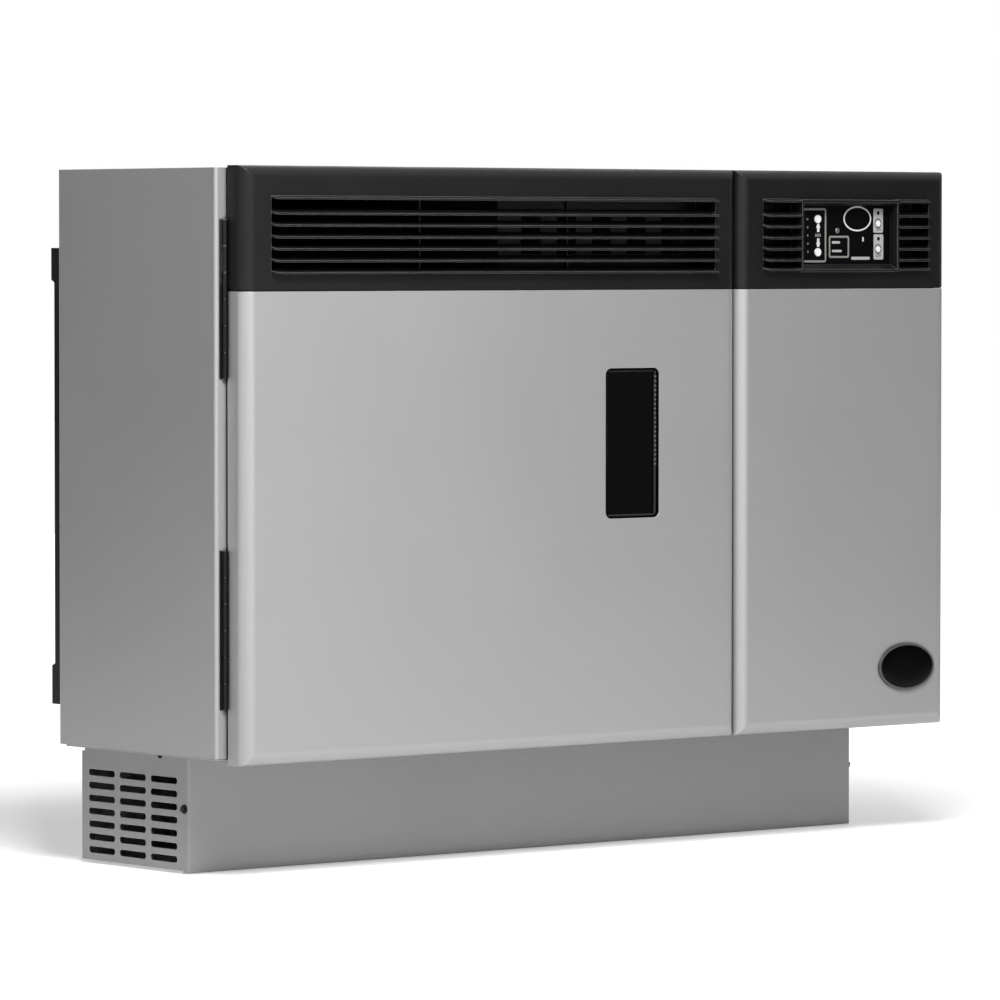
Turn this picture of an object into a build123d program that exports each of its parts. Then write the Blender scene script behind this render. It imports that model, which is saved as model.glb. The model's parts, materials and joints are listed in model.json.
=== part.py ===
from build123d import *
import math
import os

os.makedirs("parts", exist_ok=True)

# A pellet stove that hangs on a wall, in millimetres. X runs along the wall,
# Y points into the wall and Z is up. The origin is the centre of the four
# wall-screw holes, on the surface of the wall.

# Case
case_width = 940.0
case_depth = 257.0
case_height = 565.0
sheet = 1.5
bend_radius = 3.0
edge_flange = 12.7
fit = 0.3
bottom_setback = 11.0

# Wall brackets
wall_gap = 22.5
strap_gap = 5.0
bracket_inset = 8.0
bracket_steel = 2.5
bracket_flange = 34.0
upper_foot_height = 31.5
lower_foot_height = 38.0
upper_screw_height = 472.5
lower_screw_height = 57.0
wall_screw_radius = 4.25
bolt_size = 10.0
bolt_height = 4.0

# Base under the case
base_height = 115.6
base_depth = 175.0
base_inset_left = 28.0
base_inset_right = 43.2
slot_length = 43.5
slot_height = 6.4
slot_corner = 1.9
slot_pitch_along = 51.2
slot_pitch_up = 12.75
slot_columns = 3
slot_rows = 7
slot_centre_depth = 90.8
slot_centre_rise = 50.5
floor_lip = 25.0
side_lift = 2.0
front_lip = 8.0
notch_radius = 5.0
notch_depths = (46.0, 173.0)

# Front covers
front_inset = 12.0
cover_clearance = 3.0
cover_stand = 30.0
roll_radius = 12.5
front_rise = 2.1
front_drop = 6.3
seam_from_right = 301.0
seam_gap = 3.0
grille_height = 119.3
split_gap = 1.2
grille_wall = 2.5
grille_corner = 5.0
grille_low_corner = 3.0
fold_radius = 1.0
lip_inset = 1.0
frame_reach = 11.0
frame_rail = 22.0
frame_latch_rail = 12.0
frame_end_rail = 14.0
frame_cross_rail = 12.0
end_flange = 9.0

# Louvres
louvre_reach = 6.3
louvre_depth = 12.0
louvre_droop = 0.27
louvre_thickness = 1.8
louvre_pitch = 11.35
louvre_corner = 5.5
middle_louvres = 5
vent_top_margin = 31.5
first_louvre_drop = 14.8
door_last_drop = 11.3
fixed_last_drop = 9.4
door_vent_left = 32.3
door_vent_right = 30.0
fixed_vent_left = 32.1
fixed_vent_right = 26.0
vent_wall = 2.0
rib_thickness = 1.6
rib_count = 2

# Control pocket in the fixed grille
pocket_from_vent = 49.8
pocket_width = 130.0
pocket_top_drop = 1.0
pocket_bottom_rise = 0.3
pocket_depth = 11.9
pocket_wall = 2.0
pocket_low_slope = 5.5
pocket_high_slope = 2.8
panel_thickness = 2.0
board_thickness = 1.6
board_gap = 6.0
button_play = 0.2
button_proud = 1.2
button_travel = 0.7
button_collar = 0.9
switch_height = 2.0
heat_button_radius = 4.1
power_button_radius = 2.9
lamp_size = 2.4

# Window in the door
window_width = 70.4
window_height = 149.9
window_corner = 7.0
window_from_right = 104.4
window_rise = 218.8
trim_lip = 2.0
trim_flange = 5.0
glass_thickness = 4.0
glass_recess = 4.4

# Piano hinges of the door
knuckle_pitch = 25.4
knuckle_count = 6
knuckle_radius = 2.4
knuckle_gap = 0.4
hinge_pin_radius = 1.0
knuckle_bite = 1.6
pin_play = 0.05
hinge_leaf = 1.2
hinge_offset = 2.8
hinge_stand = 2.7
upper_hinge_drop = 49.2
lower_hinge_rise = 47.1
door_leaf_width = 20.0

# Oval badge plate
badge_width = 77.0
badge_height = 48.5
badge_thickness = 2.5
badge_rim = 2.2
badge_recess = 0.6
badge_from_right = 57.0
badge_rise = 55.3

# Firebox
plate = 3.0
firebox_width = 250.0
firebox_rise = 135.0
firebox_top_gap = 17.0
firebox_setback = 18.0
rear_space = 52.0
front_plate_left = 10.0
front_plate_right = 12.0
duct_width = 28.0
duct_height = 40.0
duct_wall = 1.5
duct_count = 5
duct_pitch = 46.0
duct_drop = 64.0
baffle_drop = 104.0
baffle_gap = 45.0
ledge = 10.0

# Firebox door
inner_door_thickness = 12.0
inner_door_left = 110.0
inner_door_right = 112.0
inner_door_rise = 160.0
inner_door_height = 282.0
rope_width = 9.4
rope_inset = 8.0
groove_depth = 4.0
groove_width = 10.0
mouth_inset = 18.0
inner_window_width = 116.0
inner_window_height = 164.0
inner_glass_overlap = 8.0
inner_glass_depth = 5.0
inner_glass_thickness = 4.0
ear_radius = 5.5
ear_height = 14.0
ear_offset = 7.0
ear_pin_radius = 3.0
ear_seat = math.sqrt(2) * (ear_offset - fit)
ear_margin = 30.0
lug_width = 16.0
lug_height = 30.0
latch_shaft_radius = 4.0
latch_grip_size = 11.0
latch_arm = 24.0
latch_grip_length = 32.0
latch_stand = 12.0
latch_strap = 4.0
tongue_length = 17.0
tongue_thickness = 3.4
tongue_width = 8.0
keeper_wall = 3.0

# Burn pot and its air box
pot_depth_in = 100.0
pot_top = 76.0
pot_bottom = 58.0
pot_wall = 4.0
pot_height = 60.0
pot_flange = 96.0
pot_rise = 8.0
cradle_width = 112.0
cradle_depth = 100.0
cradle_height = 65.0
cradle_sheet = 2.5
air_slot_width = 4.0
air_slot_count = 5
intake_radius = 25.4
intake_wall = 1.5
intake_offset = 22.0
igniter_size = 12.0
igniter_offset = 32.0
stub_length = 20.0
spigot_step = 0.6

# Ash pan
ash_width = 190.0
ash_height = 44.0
ash_drop_inner = 60.0
ash_drop_outer = 92.0
ash_drop_front = 35.0
ash_drop_length = 125.0
pan_side_gap = 1.0
pan_top_gap = 3.0
pan_front_margin = 6.0
pan_handle_reach = 11.0

# Pellet feed
auger_angle = 38.0
auger_from_front = 78.0
auger_entry_rise = 292.0
auger_tube_radius = 30.0
auger_tube_wall = 2.5
auger_radius = 26.0
auger_core = 14.0
auger_pitch = 58.0
auger_flight = 2.5
auger_length = 245.0
auger_inside = 10.0
feed_box_along = 142.0
feed_box_width = 60.0
feed_box_depth = 52.0
feed_flange = 8.0
throat_rise = 250.0
throat_neck = 6.0
motor_length = 42.0
motor_size = 44.0
gearbox_length = 30.0
gearbox_size = 56.0
chute_length = 84.0
chute_drop = 22.0

# Hopper and its lid
hopper_margin = 12.0
hopper_front = 14.0
hopper_back = 19.0
hopper_straight = 212.0
hopper_flange = 8.0
mouth_width = 191.0
mouth_depth = 148.0
mouth_from_front = 72.0
lid_overlap = 12.0
lid_rear_overlap = 9.0
lid_pull_width = 70.0
lid_pull_depth = 8.0
lid_pull_height = 1.4
lid_knuckle_radius = 2.0
lid_pin_radius = 0.8
lid_hinge_length = 180.0
lid_hinge_knuckles = 3
gasket_width = 8.0
gasket_depth = 5.0
gasket_gap = 2.0

# Room air blower
scroll_flats = 12
scroll_start = math.radians(45)
wheel_radius = 56.0
wheel_length = 96.0
wheel_blades = 12
blade_depth = 12.0
wheel_plate = 3.0
blower_base_radius = 68.0
blower_growth = 2.6
blower_width = 110.0
blower_from_left = 130.0
blower_depth_in = 128.0
blower_rise = 90.0
blower_outlet = 85.0
blower_inlet_radius = 46.0
shaft_radius = 4.0
motor_frame = 56.0
motor_coil = 24.0
blower_motor_length = 60.0

# Exhaust blower
impeller_radius = 38.0
impeller_width = 34.0
impeller_blades = 8
exhaust_base_radius = 46.0
exhaust_growth = 2.6
exhaust_width = 50.0
exhaust_gap = 16.0
exhaust_depth_in = 178.0
exhaust_rise = 190.0
exhaust_outlet = 47.0
exhaust_inlet = 42.0
exhaust_motor_length = 58.0
flue_radius = 38.1
flue_box_depth = 22.0

# Power inlet
inlet_width = 28.0
inlet_height = 20.0
inlet_depth = 18.0
inlet_from_right = 92.0
inlet_rise = 90.0

# Places that follow from the sizes
case_left = -case_width / 2
case_right = case_width / 2
case_back = -wall_gap
case_front = case_back - case_depth
case_bottom = -(upper_screw_height + lower_screw_height) / 2
case_top = case_bottom + case_height
cover_back = case_front - cover_clearance
front_face = case_front - cover_stand
louvre_tip = front_face - louvre_reach
front_top = case_top + front_rise
front_bottom = case_bottom - front_drop
seam_x = case_right - seam_from_right
door_left = case_left + front_inset
door_right = seam_x - seam_gap / 2
fixed_left = seam_x + seam_gap / 2
fixed_right = case_right - front_inset
grille_bottom = front_top - grille_height
panel_top = grille_bottom - split_gap
window_x = door_right - window_from_right - window_width / 2
window_z = case_bottom + window_rise + window_height / 2
hinge_x = door_left - hinge_offset
hinge_y = case_front - hinge_stand
hinge_length = knuckle_pitch * knuckle_count
bulkhead_x = seam_x - 1


def room_plane(y):
    """A plane parallel to the wall at depth y, whose extrusions grow towards the room."""
    return Plane.XZ.offset(-y)


def side_plane(x):
    """A plane square to the wall at x, with local axes Y and Z."""
    return Plane.YZ.offset(x)


# Case panels
with BuildPart() as left_side_panel:
    with BuildSketch(Plane.XY.offset(case_bottom)) as channel:
        with Locations(((case_left + edge_flange / 2), (case_front + case_back) / 2)):
            Rectangle(edge_flange, case_depth)
        fillet(channel.vertices().group_by(Axis.X)[0], bend_radius)
        with BuildSketch(mode=Mode.SUBTRACT) as hollow:
            with Locations((case_left + sheet + edge_flange / 2, (case_front + case_back) / 2)):
                Rectangle(edge_flange, case_depth - 2 * sheet)
            fillet(hollow.vertices().group_by(Axis.X)[0], bend_radius - sheet)
    extrude(amount=case_height)
left_side_panel.part.label = "left_side_panel"
export_step(left_side_panel.part, "parts/left_side_panel.step")

with BuildPart() as right_side_panel:
    mirror(left_side_panel.part, about=Plane.YZ)
right_side_panel.part.label = "right_side_panel"
export_step(right_side_panel.part, "parts/right_side_panel.step")

inside_left = case_left + bend_radius + fit
inside_right = case_right - bend_radius - fit
inside_front = case_front + sheet + fit
inside_back = case_back - 2 * sheet - fit
inside_top = case_top - sheet - fit
mouth_x = (fixed_left + fixed_right) / 2
mouth_front = case_front + mouth_from_front
mouth_back = mouth_front + mouth_depth
with BuildPart() as top_panel:
    with BuildSketch(Plane.XY.offset(case_top - sheet)):
        with Locations((0, (inside_front + case_back - sheet) / 2)):
            Rectangle(inside_right - inside_left, case_back - sheet - inside_front)
        with Locations((mouth_x, (mouth_front + mouth_back) / 2)):
            Rectangle(mouth_width, mouth_depth, mode=Mode.SUBTRACT)
    extrude(amount=sheet)
    with BuildSketch(Plane.XY.offset(case_top - edge_flange)):
        for edge_y in (inside_front + sheet / 2, inside_back - sheet / 2):
            with Locations((0, edge_y)):
                Rectangle(case_width - 4 * edge_flange, sheet)
    extrude(amount=edge_flange - sheet)
top_panel.part.label = "top_panel"
export_step(top_panel.part, "parts/top_panel.step")

flue_x = bulkhead_x + sheet + exhaust_gap + exhaust_width / 2
scroll_flat = 2 * math.pi / scroll_flats
scroll_end = scroll_start + scroll_flat * (scroll_flats - 2)
scroll_side = (exhaust_base_radius + exhaust_growth * (scroll_flats - 2)) * math.cos(scroll_end)
scroll_inner = exhaust_base_radius * math.cos(scroll_start)
flue_drop = (scroll_side + scroll_inner) / 2
flue_z = case_bottom + exhaust_rise - flue_drop
flue_collar = flue_radius + spigot_step
intake_x = window_x - intake_offset
intake_collar = intake_radius + spigot_step
cradle_z = case_bottom + firebox_rise + plate
intake_z = cradle_z + cradle_height / 2 - cradle_sheet / 2
inlet_x = case_right - inlet_from_right
inlet_z = case_bottom + inlet_rise
with BuildPart() as back_panel:
    with BuildSketch(room_plane(case_back - sheet)):
        with Locations((0, (case_bottom + inside_top) / 2)):
            Rectangle(inside_right - inside_left, inside_top - case_bottom)
        with Locations((flue_x, flue_z)):
            Circle(flue_collar + fit, mode=Mode.SUBTRACT)
        with Locations((intake_x, intake_z)):
            Circle(intake_collar + fit, mode=Mode.SUBTRACT)
        with Locations((inlet_x, inlet_z)):
            Rectangle(inlet_width + fit, inlet_height + fit, mode=Mode.SUBTRACT)
    extrude(amount=sheet)
back_panel.part.label = "back_panel"
export_step(back_panel.part, "parts/back_panel.step")

blower_left = case_left + blower_from_left
blower_right = blower_left + blower_width
blower_y = case_front + blower_depth_in
blower_z = case_bottom + blower_rise
base_left = case_left + base_inset_left
base_right = case_right - base_inset_right
base_front = case_back - base_depth
base_bottom = case_bottom - sheet - base_height
bottom_front = case_front + 1
bottom_back = case_back - bottom_setback
duct_front = base_front + edge_flange + 6
duct_back = bottom_back - 10
with BuildPart() as bottom_panel:
    with BuildSketch(Plane.XY.offset(case_bottom - sheet)):
        with Locations((0, (bottom_front + bottom_back) / 2)):
            Rectangle(case_width - 2, bottom_back - bottom_front)
        for duct_x in (blower_left - 35, blower_right + 35):
            with Locations((duct_x, (duct_front + duct_back) / 2)):
                Rectangle(54, duct_back - duct_front, mode=Mode.SUBTRACT)
    extrude(amount=sheet)
bottom_panel.part.label = "bottom_panel"
export_step(bottom_panel.part, "parts/bottom_panel.step")

firebox_left = window_x - firebox_width / 2
firebox_right = window_x + firebox_width / 2
firebox_bottom = case_bottom + firebox_rise
firebox_top = case_top - firebox_top_gap
firebox_front = case_front + firebox_setback
firebox_back = case_back - rear_space
ash_floor = firebox_bottom - ash_height - sheet
outlet_low = grille_bottom + grille_wall + 12
outlet_high = front_top - vent_top_margin + 4
frame_left = case_left + edge_flange + fit
access_left = firebox_left - front_plate_left - 2
access_right = window_x + inner_door_right + lug_width + 3
access_low = ash_floor - 18
access_high = outlet_low - 14
with BuildPart() as front_frame:
    with BuildSketch(room_plane(case_front + sheet)):
        with Locations((0, (case_bottom + case_top) / 2)):
            Rectangle(-2 * frame_left, case_height - fit)
        with Locations(((access_left + access_right) / 2, (access_low + access_high) / 2)):
            Rectangle(access_right - access_left, access_high - access_low, mode=Mode.SUBTRACT)
        outlet_left = door_left + door_vent_left
        outlet_right = door_right - door_vent_right
        with Locations(((outlet_left + outlet_right) / 2, (outlet_low + outlet_high) / 2)):
            Rectangle(outlet_right - outlet_left, outlet_high - outlet_low, mode=Mode.SUBTRACT)
        with Locations(((fixed_left + fixed_right) / 2, (outlet_low + outlet_high) / 2)):
            Rectangle(60, 40, mode=Mode.SUBTRACT)
    extrude(amount=sheet)
front_frame.part.label = "front_frame"
export_step(front_frame.part, "parts/front_frame.step")

# The pellet path leans in the plane of the wall
auger_run = math.cos(math.radians(auger_angle))
auger_fall = math.sin(math.radians(auger_angle))
auger_plane = Plane(
    origin=(firebox_right, case_front + auger_from_front, case_bottom + auger_entry_rise),
    x_dir=(0, 1, 0),
    z_dir=(auger_run, 0, -auger_fall),
)

exhaust_y = case_front + exhaust_depth_in
exhaust_z = case_bottom + exhaust_rise
bulkhead_front = inside_front + sheet + fit
bulkhead_back = inside_back - sheet - fit
with BuildPart() as bulkhead:
    with BuildSketch(side_plane(bulkhead_x)):
        with Locations(((bulkhead_front + bulkhead_back) / 2, (case_bottom + inside_top) / 2)):
            Rectangle(bulkhead_back - bulkhead_front, inside_top - case_bottom)
        with Locations((exhaust_y, exhaust_z)):
            Rectangle(exhaust_inlet + 2 * fit, exhaust_inlet + 2 * fit, mode=Mode.SUBTRACT)
    extrude(amount=sheet)
    with BuildSketch(auger_plane.offset(-60)):
        Circle(auger_tube_radius + fit)
    extrude(amount=auger_length, mode=Mode.SUBTRACT)
bulkhead.part.label = "bulkhead"
export_step(bulkhead.part, "parts/bulkhead.step")

# Wall brackets, each one folded strap with two feet that reach the wall
with BuildPart() as left_wall_bracket:
    bracket_x = case_left + bracket_inset
    upper_low = case_bottom + upper_screw_height - upper_foot_height / 2
    upper_high = upper_low + upper_foot_height
    lower_low = case_bottom + lower_screw_height - lower_foot_height / 2
    lower_high = lower_low + lower_foot_height
    slope = 2.4
    with BuildSketch(side_plane(bracket_x)):
        with BuildLine():
            Polyline(
                (case_back, lower_low),
                (0, lower_low),
                (0, lower_high),
                (-strap_gap, lower_high + slope),
                (-strap_gap, upper_low - slope),
                (0, upper_low),
                (0, upper_high),
                (case_back, upper_high),
                close=True,
            )
        make_face()
    extrude(amount=bracket_steel)
    with BuildSketch(Plane.XY.offset(lower_low)):
        with Locations((bracket_x + bracket_flange / 2, case_back + bracket_steel / 2)):
            Rectangle(bracket_flange, bracket_steel)
    extrude(amount=upper_high - lower_low)
    for foot_low, foot_height in ((lower_low, lower_foot_height), (upper_low, upper_foot_height)):
        with BuildSketch(Plane.XY.offset(foot_low)):
            with Locations((bracket_x + bracket_flange / 2, -bracket_steel / 2)):
                Rectangle(bracket_flange, bracket_steel)
        extrude(amount=foot_height)
    wall_screw_x = bracket_x + bracket_flange * 0.6
    with BuildSketch(room_plane(0)):
        for screw_height in (lower_screw_height, upper_screw_height):
            with Locations((wall_screw_x, case_bottom + screw_height)):
                Circle(wall_screw_radius)
    extrude(amount=bracket_steel, mode=Mode.SUBTRACT)
    bolt_x = bracket_x + bracket_flange * 0.6
    with BuildSketch(room_plane(case_back + bracket_steel)):
        for bolt_z in (lower_high + 30, upper_low - 30):
            with Locations((bolt_x, bolt_z)):
                RegularPolygon(bolt_size / 2, 6, major_radius=False)
    extrude(amount=-bolt_height)
left_wall_bracket.part.label = "left_wall_bracket"
export_step(left_wall_bracket.part, "parts/left_wall_bracket.step")

with BuildPart() as right_wall_bracket:
    mirror(left_wall_bracket.part, about=Plane.YZ)
right_wall_bracket.part.label = "right_wall_bracket"
export_step(right_wall_bracket.part, "parts/right_wall_bracket.step")

# Base with its air slots
with BuildPart() as base_shroud:
    base_x = (base_left + base_right) / 2
    base_y = (base_front + case_back) / 2
    with BuildSketch(Plane.XY.offset(base_bottom)) as wrap:
        with Locations((base_x, base_y)):
            Rectangle(base_right - base_left, base_depth)
        fillet(wrap.vertices().group_by(Axis.Y)[0], bend_radius)
        with BuildSketch(mode=Mode.SUBTRACT) as hollow:
            with Locations((base_x, base_y + sheet)):
                Rectangle(base_right - base_left - 2 * sheet, base_depth)
            fillet(hollow.vertices().group_by(Axis.Y)[0], bend_radius - sheet)
    extrude(amount=base_height)
    with BuildSketch(Plane.XY.offset(case_bottom - 2 * sheet)):
        with Locations((base_x, base_front + edge_flange / 2)):
            Rectangle(base_right - base_left - 2 * bend_radius, edge_flange)
        for edge_x in (base_left + edge_flange / 2, base_right - edge_flange / 2):
            with Locations((edge_x, base_y + edge_flange / 2)):
                Rectangle(edge_flange, base_depth - edge_flange - bend_radius)
    extrude(amount=sheet)
    with BuildSketch(side_plane(base_left - 1)) as slots:
        with Locations((base_front + slot_centre_depth, base_bottom + slot_centre_rise)):
            with GridLocations(slot_pitch_along, slot_pitch_up, slot_columns, slot_rows):
                Rectangle(slot_length, slot_height)
        chamfer(slots.vertices(), slot_corner)
    extrude(amount=base_right - base_left + 2, mode=Mode.SUBTRACT)
    with BuildSketch(side_plane(base_left - 1)):
        for depth in notch_depths:
            with Locations((base_front + depth, case_bottom - 2 * sheet)):
                Circle(notch_radius)
        with Locations((base_y, case_bottom)):
            Rectangle(base_depth, 4 * sheet, mode=Mode.SUBTRACT)
        with Locations((base_y + front_lip, base_bottom)):
            Rectangle(base_depth, 2 * side_lift)
    extrude(amount=base_right - base_left + 2, mode=Mode.SUBTRACT)
base_shroud.part.label = "base_shroud"
export_step(base_shroud.part, "parts/base_shroud.step")

floor_left = base_left + bend_radius + fit
floor_front = base_front + sheet + fit
base_floor_low = base_bottom + side_lift
with BuildPart() as base_floor:
    with BuildSketch(side_plane(floor_left)):
        with BuildLine():
            Polyline(
                (floor_front, base_floor_low + floor_lip),
                (floor_front, base_floor_low),
                (case_back, base_floor_low),
                (case_back, case_bottom - sheet - fit),
                (case_back - sheet, case_bottom - sheet - fit),
                (case_back - sheet, base_floor_low + sheet),
                (floor_front + sheet, base_floor_low + sheet),
                (floor_front + sheet, base_floor_low + floor_lip),
                close=True,
            )
        make_face()
    extrude(amount=base_right - base_left - 2 * (bend_radius + fit))
base_floor.part.label = "base_floor"
export_step(base_floor.part, "parts/base_floor.step")


def cover_plan(left, right, inset, rear):
    """A front cover seen from above, with its two front corners rolled."""
    face = front_face + inset
    with BuildSketch() as plan:
        with Locations(((left + right) / 2, (face + rear) / 2)):
            Rectangle(right - left - 2 * inset, rear - face)
        fillet(plan.vertices().group_by(Axis.Y)[0], roll_radius - inset)
    return plan.sketch


def rolled_block(left, right, low, high, inset, roll_low):
    """A front cover's outline, rolled at both sides and along one end, shrunk by an inset."""
    face = front_face + inset
    rear = cover_back + (1 if inset else 0)
    x_min, x_max = left + inset, right - inset
    z_min, z_max = low + inset, high - inset
    with BuildPart() as block:
        with BuildSketch(Plane.XY.offset(z_min)):
            add(cover_plan(left, right, inset, rear))
        extrude(amount=z_max - z_min)
        with BuildSketch(side_plane(x_min)) as profile:
            with Locations(((face + rear) / 2, (z_min + z_max) / 2)):
                Rectangle(rear - face, z_max - z_min)
            corners = profile.vertices().group_by(Axis.X)[0].sort_by(Axis.Y, reverse=not roll_low)
            fillet(corners[0], roll_radius - inset)
            if not inset:
                fillet(corners[1], fold_radius)
        extrude(amount=x_max - x_min, mode=Mode.INTERSECT)
    return block.part


def rounded_grille(left, right):
    """A grille's outer block: rolled like the panels, with round corners seen from the front."""
    with BuildPart() as block:
        add(rolled_block(left, right, grille_bottom, front_top, 0, False))
        with BuildSketch(room_plane(cover_back)) as face:
            with Locations(((left + right) / 2, (grille_bottom + front_top) / 2)):
                Rectangle(right - left, front_top - grille_bottom)
            ends = face.vertices().group_by(Axis.Y)
            fillet(ends[0], grille_low_corner)
            fillet(ends[-1], grille_corner)
        extrude(amount=cover_back - front_face, mode=Mode.INTERSECT)
        with BuildSketch(Plane.XY.offset(grille_bottom - split_gap + fit)):
            add(cover_plan(left, right, lip_inset, cover_back))
            add(cover_plan(left, right, grille_wall, cover_back + 1), mode=Mode.SUBTRACT)
        extrude(amount=split_gap - fit + lip_inset)
    return block.part


def cover_shell(outer, left, right, low, high, wall, roll_low):
    """A rolled cover, hollow from behind, whose end at the split keeps only a short flange."""
    inner = rolled_block(left, right, low, high, wall, roll_low)
    flange_back = front_face + end_flange
    split_z = high if roll_low else low
    with BuildPart() as shell:
        add(outer)
        add(inner, mode=Mode.SUBTRACT)
        with Locations(((left + right) / 2, flange_back + roll_radius, split_z)):
            Box(right - left - 2 * wall, 2 * roll_radius, 3 * wall, mode=Mode.SUBTRACT)
    return shell.part


def cover_frame(left, right, low, high, back, latch_rail):
    """The folded frame behind a cover, with rails, a cross rail and walls that reach forward."""
    x_min, x_max = left + grille_wall + fit, right - grille_wall - fit
    z_min, z_max = low + sheet + fit, high - grille_wall - fit
    cross_z = grille_bottom - split_gap - frame_cross_rail / 2
    with BuildPart() as ring:
        with BuildSketch(room_plane(back)):
            with Locations(((x_min + x_max) / 2, (z_min + z_max) / 2)):
                Rectangle(x_max - x_min, z_max - z_min)
            open_left, open_right = x_min + frame_rail, x_max - latch_rail
            open_low, open_high = z_min + frame_end_rail, z_max - frame_end_rail
            with Locations(((open_left + open_right) / 2, (open_low + open_high) / 2)):
                Rectangle(open_right - open_left, open_high - open_low, mode=Mode.SUBTRACT)
            with Locations(((open_left + open_right) / 2, cross_z)):
                Rectangle(open_right - open_left, frame_cross_rail)
        extrude(amount=sheet)
        with BuildSketch(room_plane(back)):
            with Locations(((x_min + x_max) / 2, (z_min + z_max) / 2)):
                Rectangle(x_max - x_min, z_max - z_min)
                Rectangle(x_max - x_min - 2 * sheet, z_max - z_min - 2 * sheet, mode=Mode.SUBTRACT)
        extrude(amount=frame_reach)
    return ring.part


def louvre_heights(last_drop):
    """Heights of the louvre tips, from the top one down."""
    top = front_top - vent_top_margin
    middle = [top - first_louvre_drop - step * louvre_pitch for step in range(middle_louvres)]
    return [top, *middle, middle[-1] - last_drop]


def louvre_stack(left, right, heights, round_left, round_right):
    """Sloping louvres between two ends, with their tip corners rounded where asked."""
    depth = louvre_reach + louvre_depth
    low, high = min(heights) - depth, max(heights) + depth
    with BuildPart() as stack:
        with BuildSketch(side_plane(left)):
            for height in heights:
                rise = louvre_droop * depth
                half = louvre_thickness / 2
                with BuildLine():
                    Polyline(
                        (louvre_tip, height - half),
                        (louvre_tip + depth, height + rise - half),
                        (louvre_tip + depth, height + rise + half),
                        (louvre_tip, height + half),
                        close=True,
                    )
                make_face()
        extrude(amount=right - left)
        with BuildSketch(Plane.XY.offset(low)) as plan:
            with Locations(((left + right) / 2, louvre_tip + depth / 2)):
                Rectangle(right - left, depth)
            tips = plan.vertices().group_by(Axis.Y)[0].sort_by(Axis.X)
            if round_left:
                fillet(tips[0], louvre_corner)
            if round_right:
                fillet(tips[-1], louvre_corner)
        extrude(amount=high - low, mode=Mode.INTERSECT)
    return stack.part


face_rise = louvre_droop * louvre_reach
vent_back = front_face + louvre_depth

# Swinging door: panel, grille, frame and window
door_block = rolled_block(door_left, door_right, front_bottom, panel_top, 0, True)
door_skin = cover_shell(door_block, door_left, door_right, front_bottom, panel_top, sheet, True)
with BuildPart() as door_panel:
    add(door_skin)
    with BuildSketch(room_plane(front_face + sheet + 1)):
        with Locations((window_x, window_z)):
            RectangleRounded(window_width, window_height, window_corner)
    extrude(amount=sheet + 2, mode=Mode.SUBTRACT)
door_panel.part.label = "door_panel"
export_step(door_panel.part, "parts/door_panel.step")

door_tips = louvre_heights(door_last_drop)
vent_left = door_left + door_vent_left
vent_right = door_right - door_vent_right
vent_low = door_tips[-1] + face_rise
vent_high = door_tips[0] + face_rise
grille_block = rounded_grille(door_left, door_right)
grille_skin = cover_shell(grille_block, door_left, door_right, grille_bottom, front_top, grille_wall, False)
door_louvres = louvre_stack(vent_left, vent_right, door_tips, True, True)
with BuildPart() as door_grille:
    add(grille_skin)
    with BuildSketch(room_plane(vent_back)):
        with Locations(((vent_left + vent_right) / 2, (vent_low + vent_high) / 2)):
            Rectangle(vent_right - vent_left + 2 * vent_wall, vent_high - vent_low + 2 * vent_wall)
    extrude(amount=louvre_depth - 0.5)
    with BuildSketch(room_plane(vent_back)):
        with Locations(((vent_left + vent_right) / 2, (vent_low + vent_high) / 2)):
            Rectangle(vent_right - vent_left, vent_high - vent_low)
    extrude(amount=louvre_depth + 1, mode=Mode.SUBTRACT)
    add(door_louvres)
    rib_pitch = (vent_right - vent_left) / (rib_count + 1)
    with BuildSketch(room_plane(vent_back)):
        with Locations(((vent_left + vent_right) / 2, (vent_low + vent_high) / 2)):
            with GridLocations(rib_pitch, 1, rib_count, 1):
                Rectangle(rib_thickness, vent_high - vent_low + vent_wall)
    extrude(amount=4)
door_grille.part.label = "door_grille"
export_step(door_grille.part, "parts/door_grille.step")

with BuildPart() as door_frame:
    add(cover_frame(door_left, door_right, front_bottom, front_top, cover_back, frame_latch_rail))
door_frame.part.label = "door_frame"
export_step(door_frame.part, "parts/door_frame.step")

trim_face = front_face + sheet + fit
glass_front = front_face + glass_recess
with BuildPart() as window_trim:
    with BuildSketch(room_plane(glass_front)):
        with Locations((window_x, window_z)):
            RectangleRounded(window_width - 2 * fit, window_height - 2 * fit, window_corner - fit)
    extrude(amount=glass_recess - 0.6)
    with BuildSketch(room_plane(glass_front)):
        with Locations((window_x, window_z)):
            Rectangle(window_width + 2 * trim_flange, window_height + 2 * trim_flange)
    extrude(amount=glass_front - trim_face)
    with BuildSketch(room_plane(glass_front)):
        with Locations((window_x, window_z)):
            RectangleRounded(
                window_width - 2 * trim_lip, window_height - 2 * trim_lip, window_corner - trim_lip
            )
    extrude(amount=glass_recess, mode=Mode.SUBTRACT)
window_trim.part.label = "window_trim"
export_step(window_trim.part, "parts/window_trim.step")

with BuildPart() as window_glass:
    with BuildSketch(room_plane(glass_front + glass_thickness)):
        with Locations((window_x, window_z)):
            Rectangle(window_width + 2 * trim_flange, window_height + 2 * trim_flange)
    extrude(amount=glass_thickness)
window_glass.part.label = "window_glass"
export_step(window_glass.part, "parts/window_glass.step")


# Piano hinges: knuckles take turns between the case's leaf and the door's leaf
hinge_lows = (case_top - upper_hinge_drop - hinge_length, case_bottom + lower_hinge_rise)


def knuckle_section(radius, bore):
    """An eight-sided knuckle's section round its pin, light enough to repeat many times."""
    with BuildSketch() as section:
        RegularPolygon(radius, 8, rotation=22.5)
        RegularPolygon(bore, 8, major_radius=False, rotation=22.5, mode=Mode.SUBTRACT)
    return section.sketch


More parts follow.
